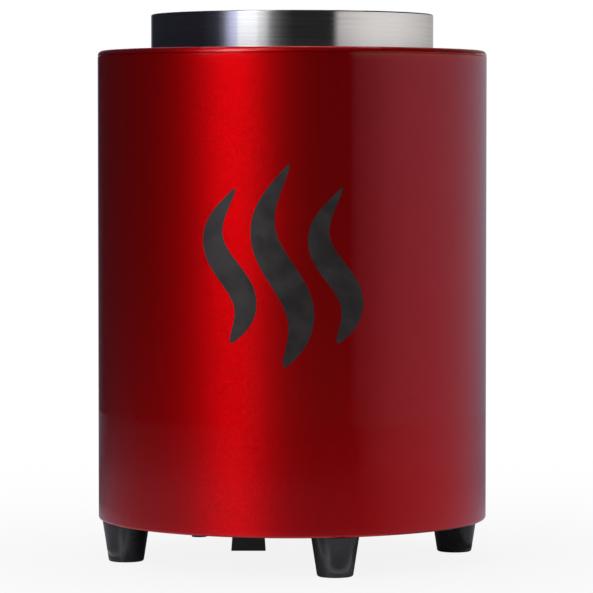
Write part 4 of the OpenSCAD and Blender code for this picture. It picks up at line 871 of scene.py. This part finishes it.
# The dial's four places round the knob, from nought to three
digit_h = 0.0024
digit_w = 0.00042
digit_r = 0.0166
digits = [[arc_line(0, 0, 0.5, 90, 450, 28, 0.58)],
          [[(-0.16, 0.30), (0.04, 0.5), (0.04, -0.5)]],
          [arc_line(0, 0.22, 0.28, 165, -35, 14) + [(-0.28, -0.5), (0.31, -0.5)]],
          [arc_line(0, 0.24, 0.26, 150, -90, 14), arc_line(0, -0.23, 0.27, 90, -150, 14)]]
knob_lo, knob_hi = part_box("selector_knob")
knob_x, knob_z = (knob_lo.x + knob_hi.x) / 2, (knob_lo.z + knob_hi.z) / 2
knob_gap = 0.0006
knob_first = 22.5
knob_step = 45.0
tray_y = knob_lo.y - knob_gap


def on_tray(turn):
    """The place() of a digit at this turn round the knob, in degrees."""
    x = knob_x + digit_r * math.cos(math.radians(turn))
    z = knob_z + digit_r * math.sin(math.radians(turn))
    return lambda u, v, lift: (x - digit_h * u, tray_y + lift, z + digit_h * v)


for i, strokes in enumerate(digits):
    printed(f"dial_mark_{i}", strokes, digit_w / digit_h, on_tray(knob_first + knob_step * i),
            "chassis")

# A line along the knob's rib
rib = math.radians(knob_first)
rib_line = [(0.004, 0), (0.008, 0), (0.012, 0)]
rib_line_w = 0.0009


def on_rib(u, v, lift):
    return (knob_x + u * math.cos(rib) - v * math.sin(rib), knob_hi.y + lift,
            knob_z + u * math.sin(rib) + v * math.cos(rib))


printed("knob_line", [rib_line], rib_line_w, on_rib, "selector")

# A ring and a bar on the two slopes of the rocker
pivot_depth = 0.0005
rocker_z = sum(corner.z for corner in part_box("switch_rocker")) / 2
rocker_pivot = Vector((0.0, tray_y - pivot_depth, rocker_z))
rocker_lean = math.radians(-8)
rocker_dip = 0.0034
rocker_slope = 0.0012 / 0.0079
mark_reach = 0.0046
bar_half = 0.0018


def on_rocker(u, v, lift):
    x, y = -u, rocker_dip + abs(u) * rocker_slope + lift
    return rocker_pivot + Vector((x * math.cos(rocker_lean) - y * math.sin(rocker_lean),
                                  x * math.sin(rocker_lean) + y * math.cos(rocker_lean), v))


rocker_ring = arc_line(-mark_reach, 0, 0.0016, 0, 360, 32)
rocker_bar = [(mark_reach, -bar_half), (mark_reach, 0.0), (mark_reach, bar_half)]
printed("rocker_ring", [rocker_ring], 0.0005, on_rocker, "rocker")
printed("rocker_bar", [rocker_bar], 0.0006, on_rocker, "rocker")


# ---- Circuit board ----
# A green epoxy board on brass posts behind the panel, with a terminal block, a relay, a
# capacitor and a finned heat sink.
board_green = finish("epoxy_green", grain, {"Scale": 400.0, "Blotches": 150.0},
                     colours=((0.01, 0.10, 0.035), (0.02, 0.16, 0.06)), roughness=(0.3, 0.42),
                     bump=(0.1, 0.0001))
dress(board_green, "circuit_board")
dress(gloss_plastic, "board_parts")
dress(brass, "board_posts")
dress(cast_metal, "heat_sink")
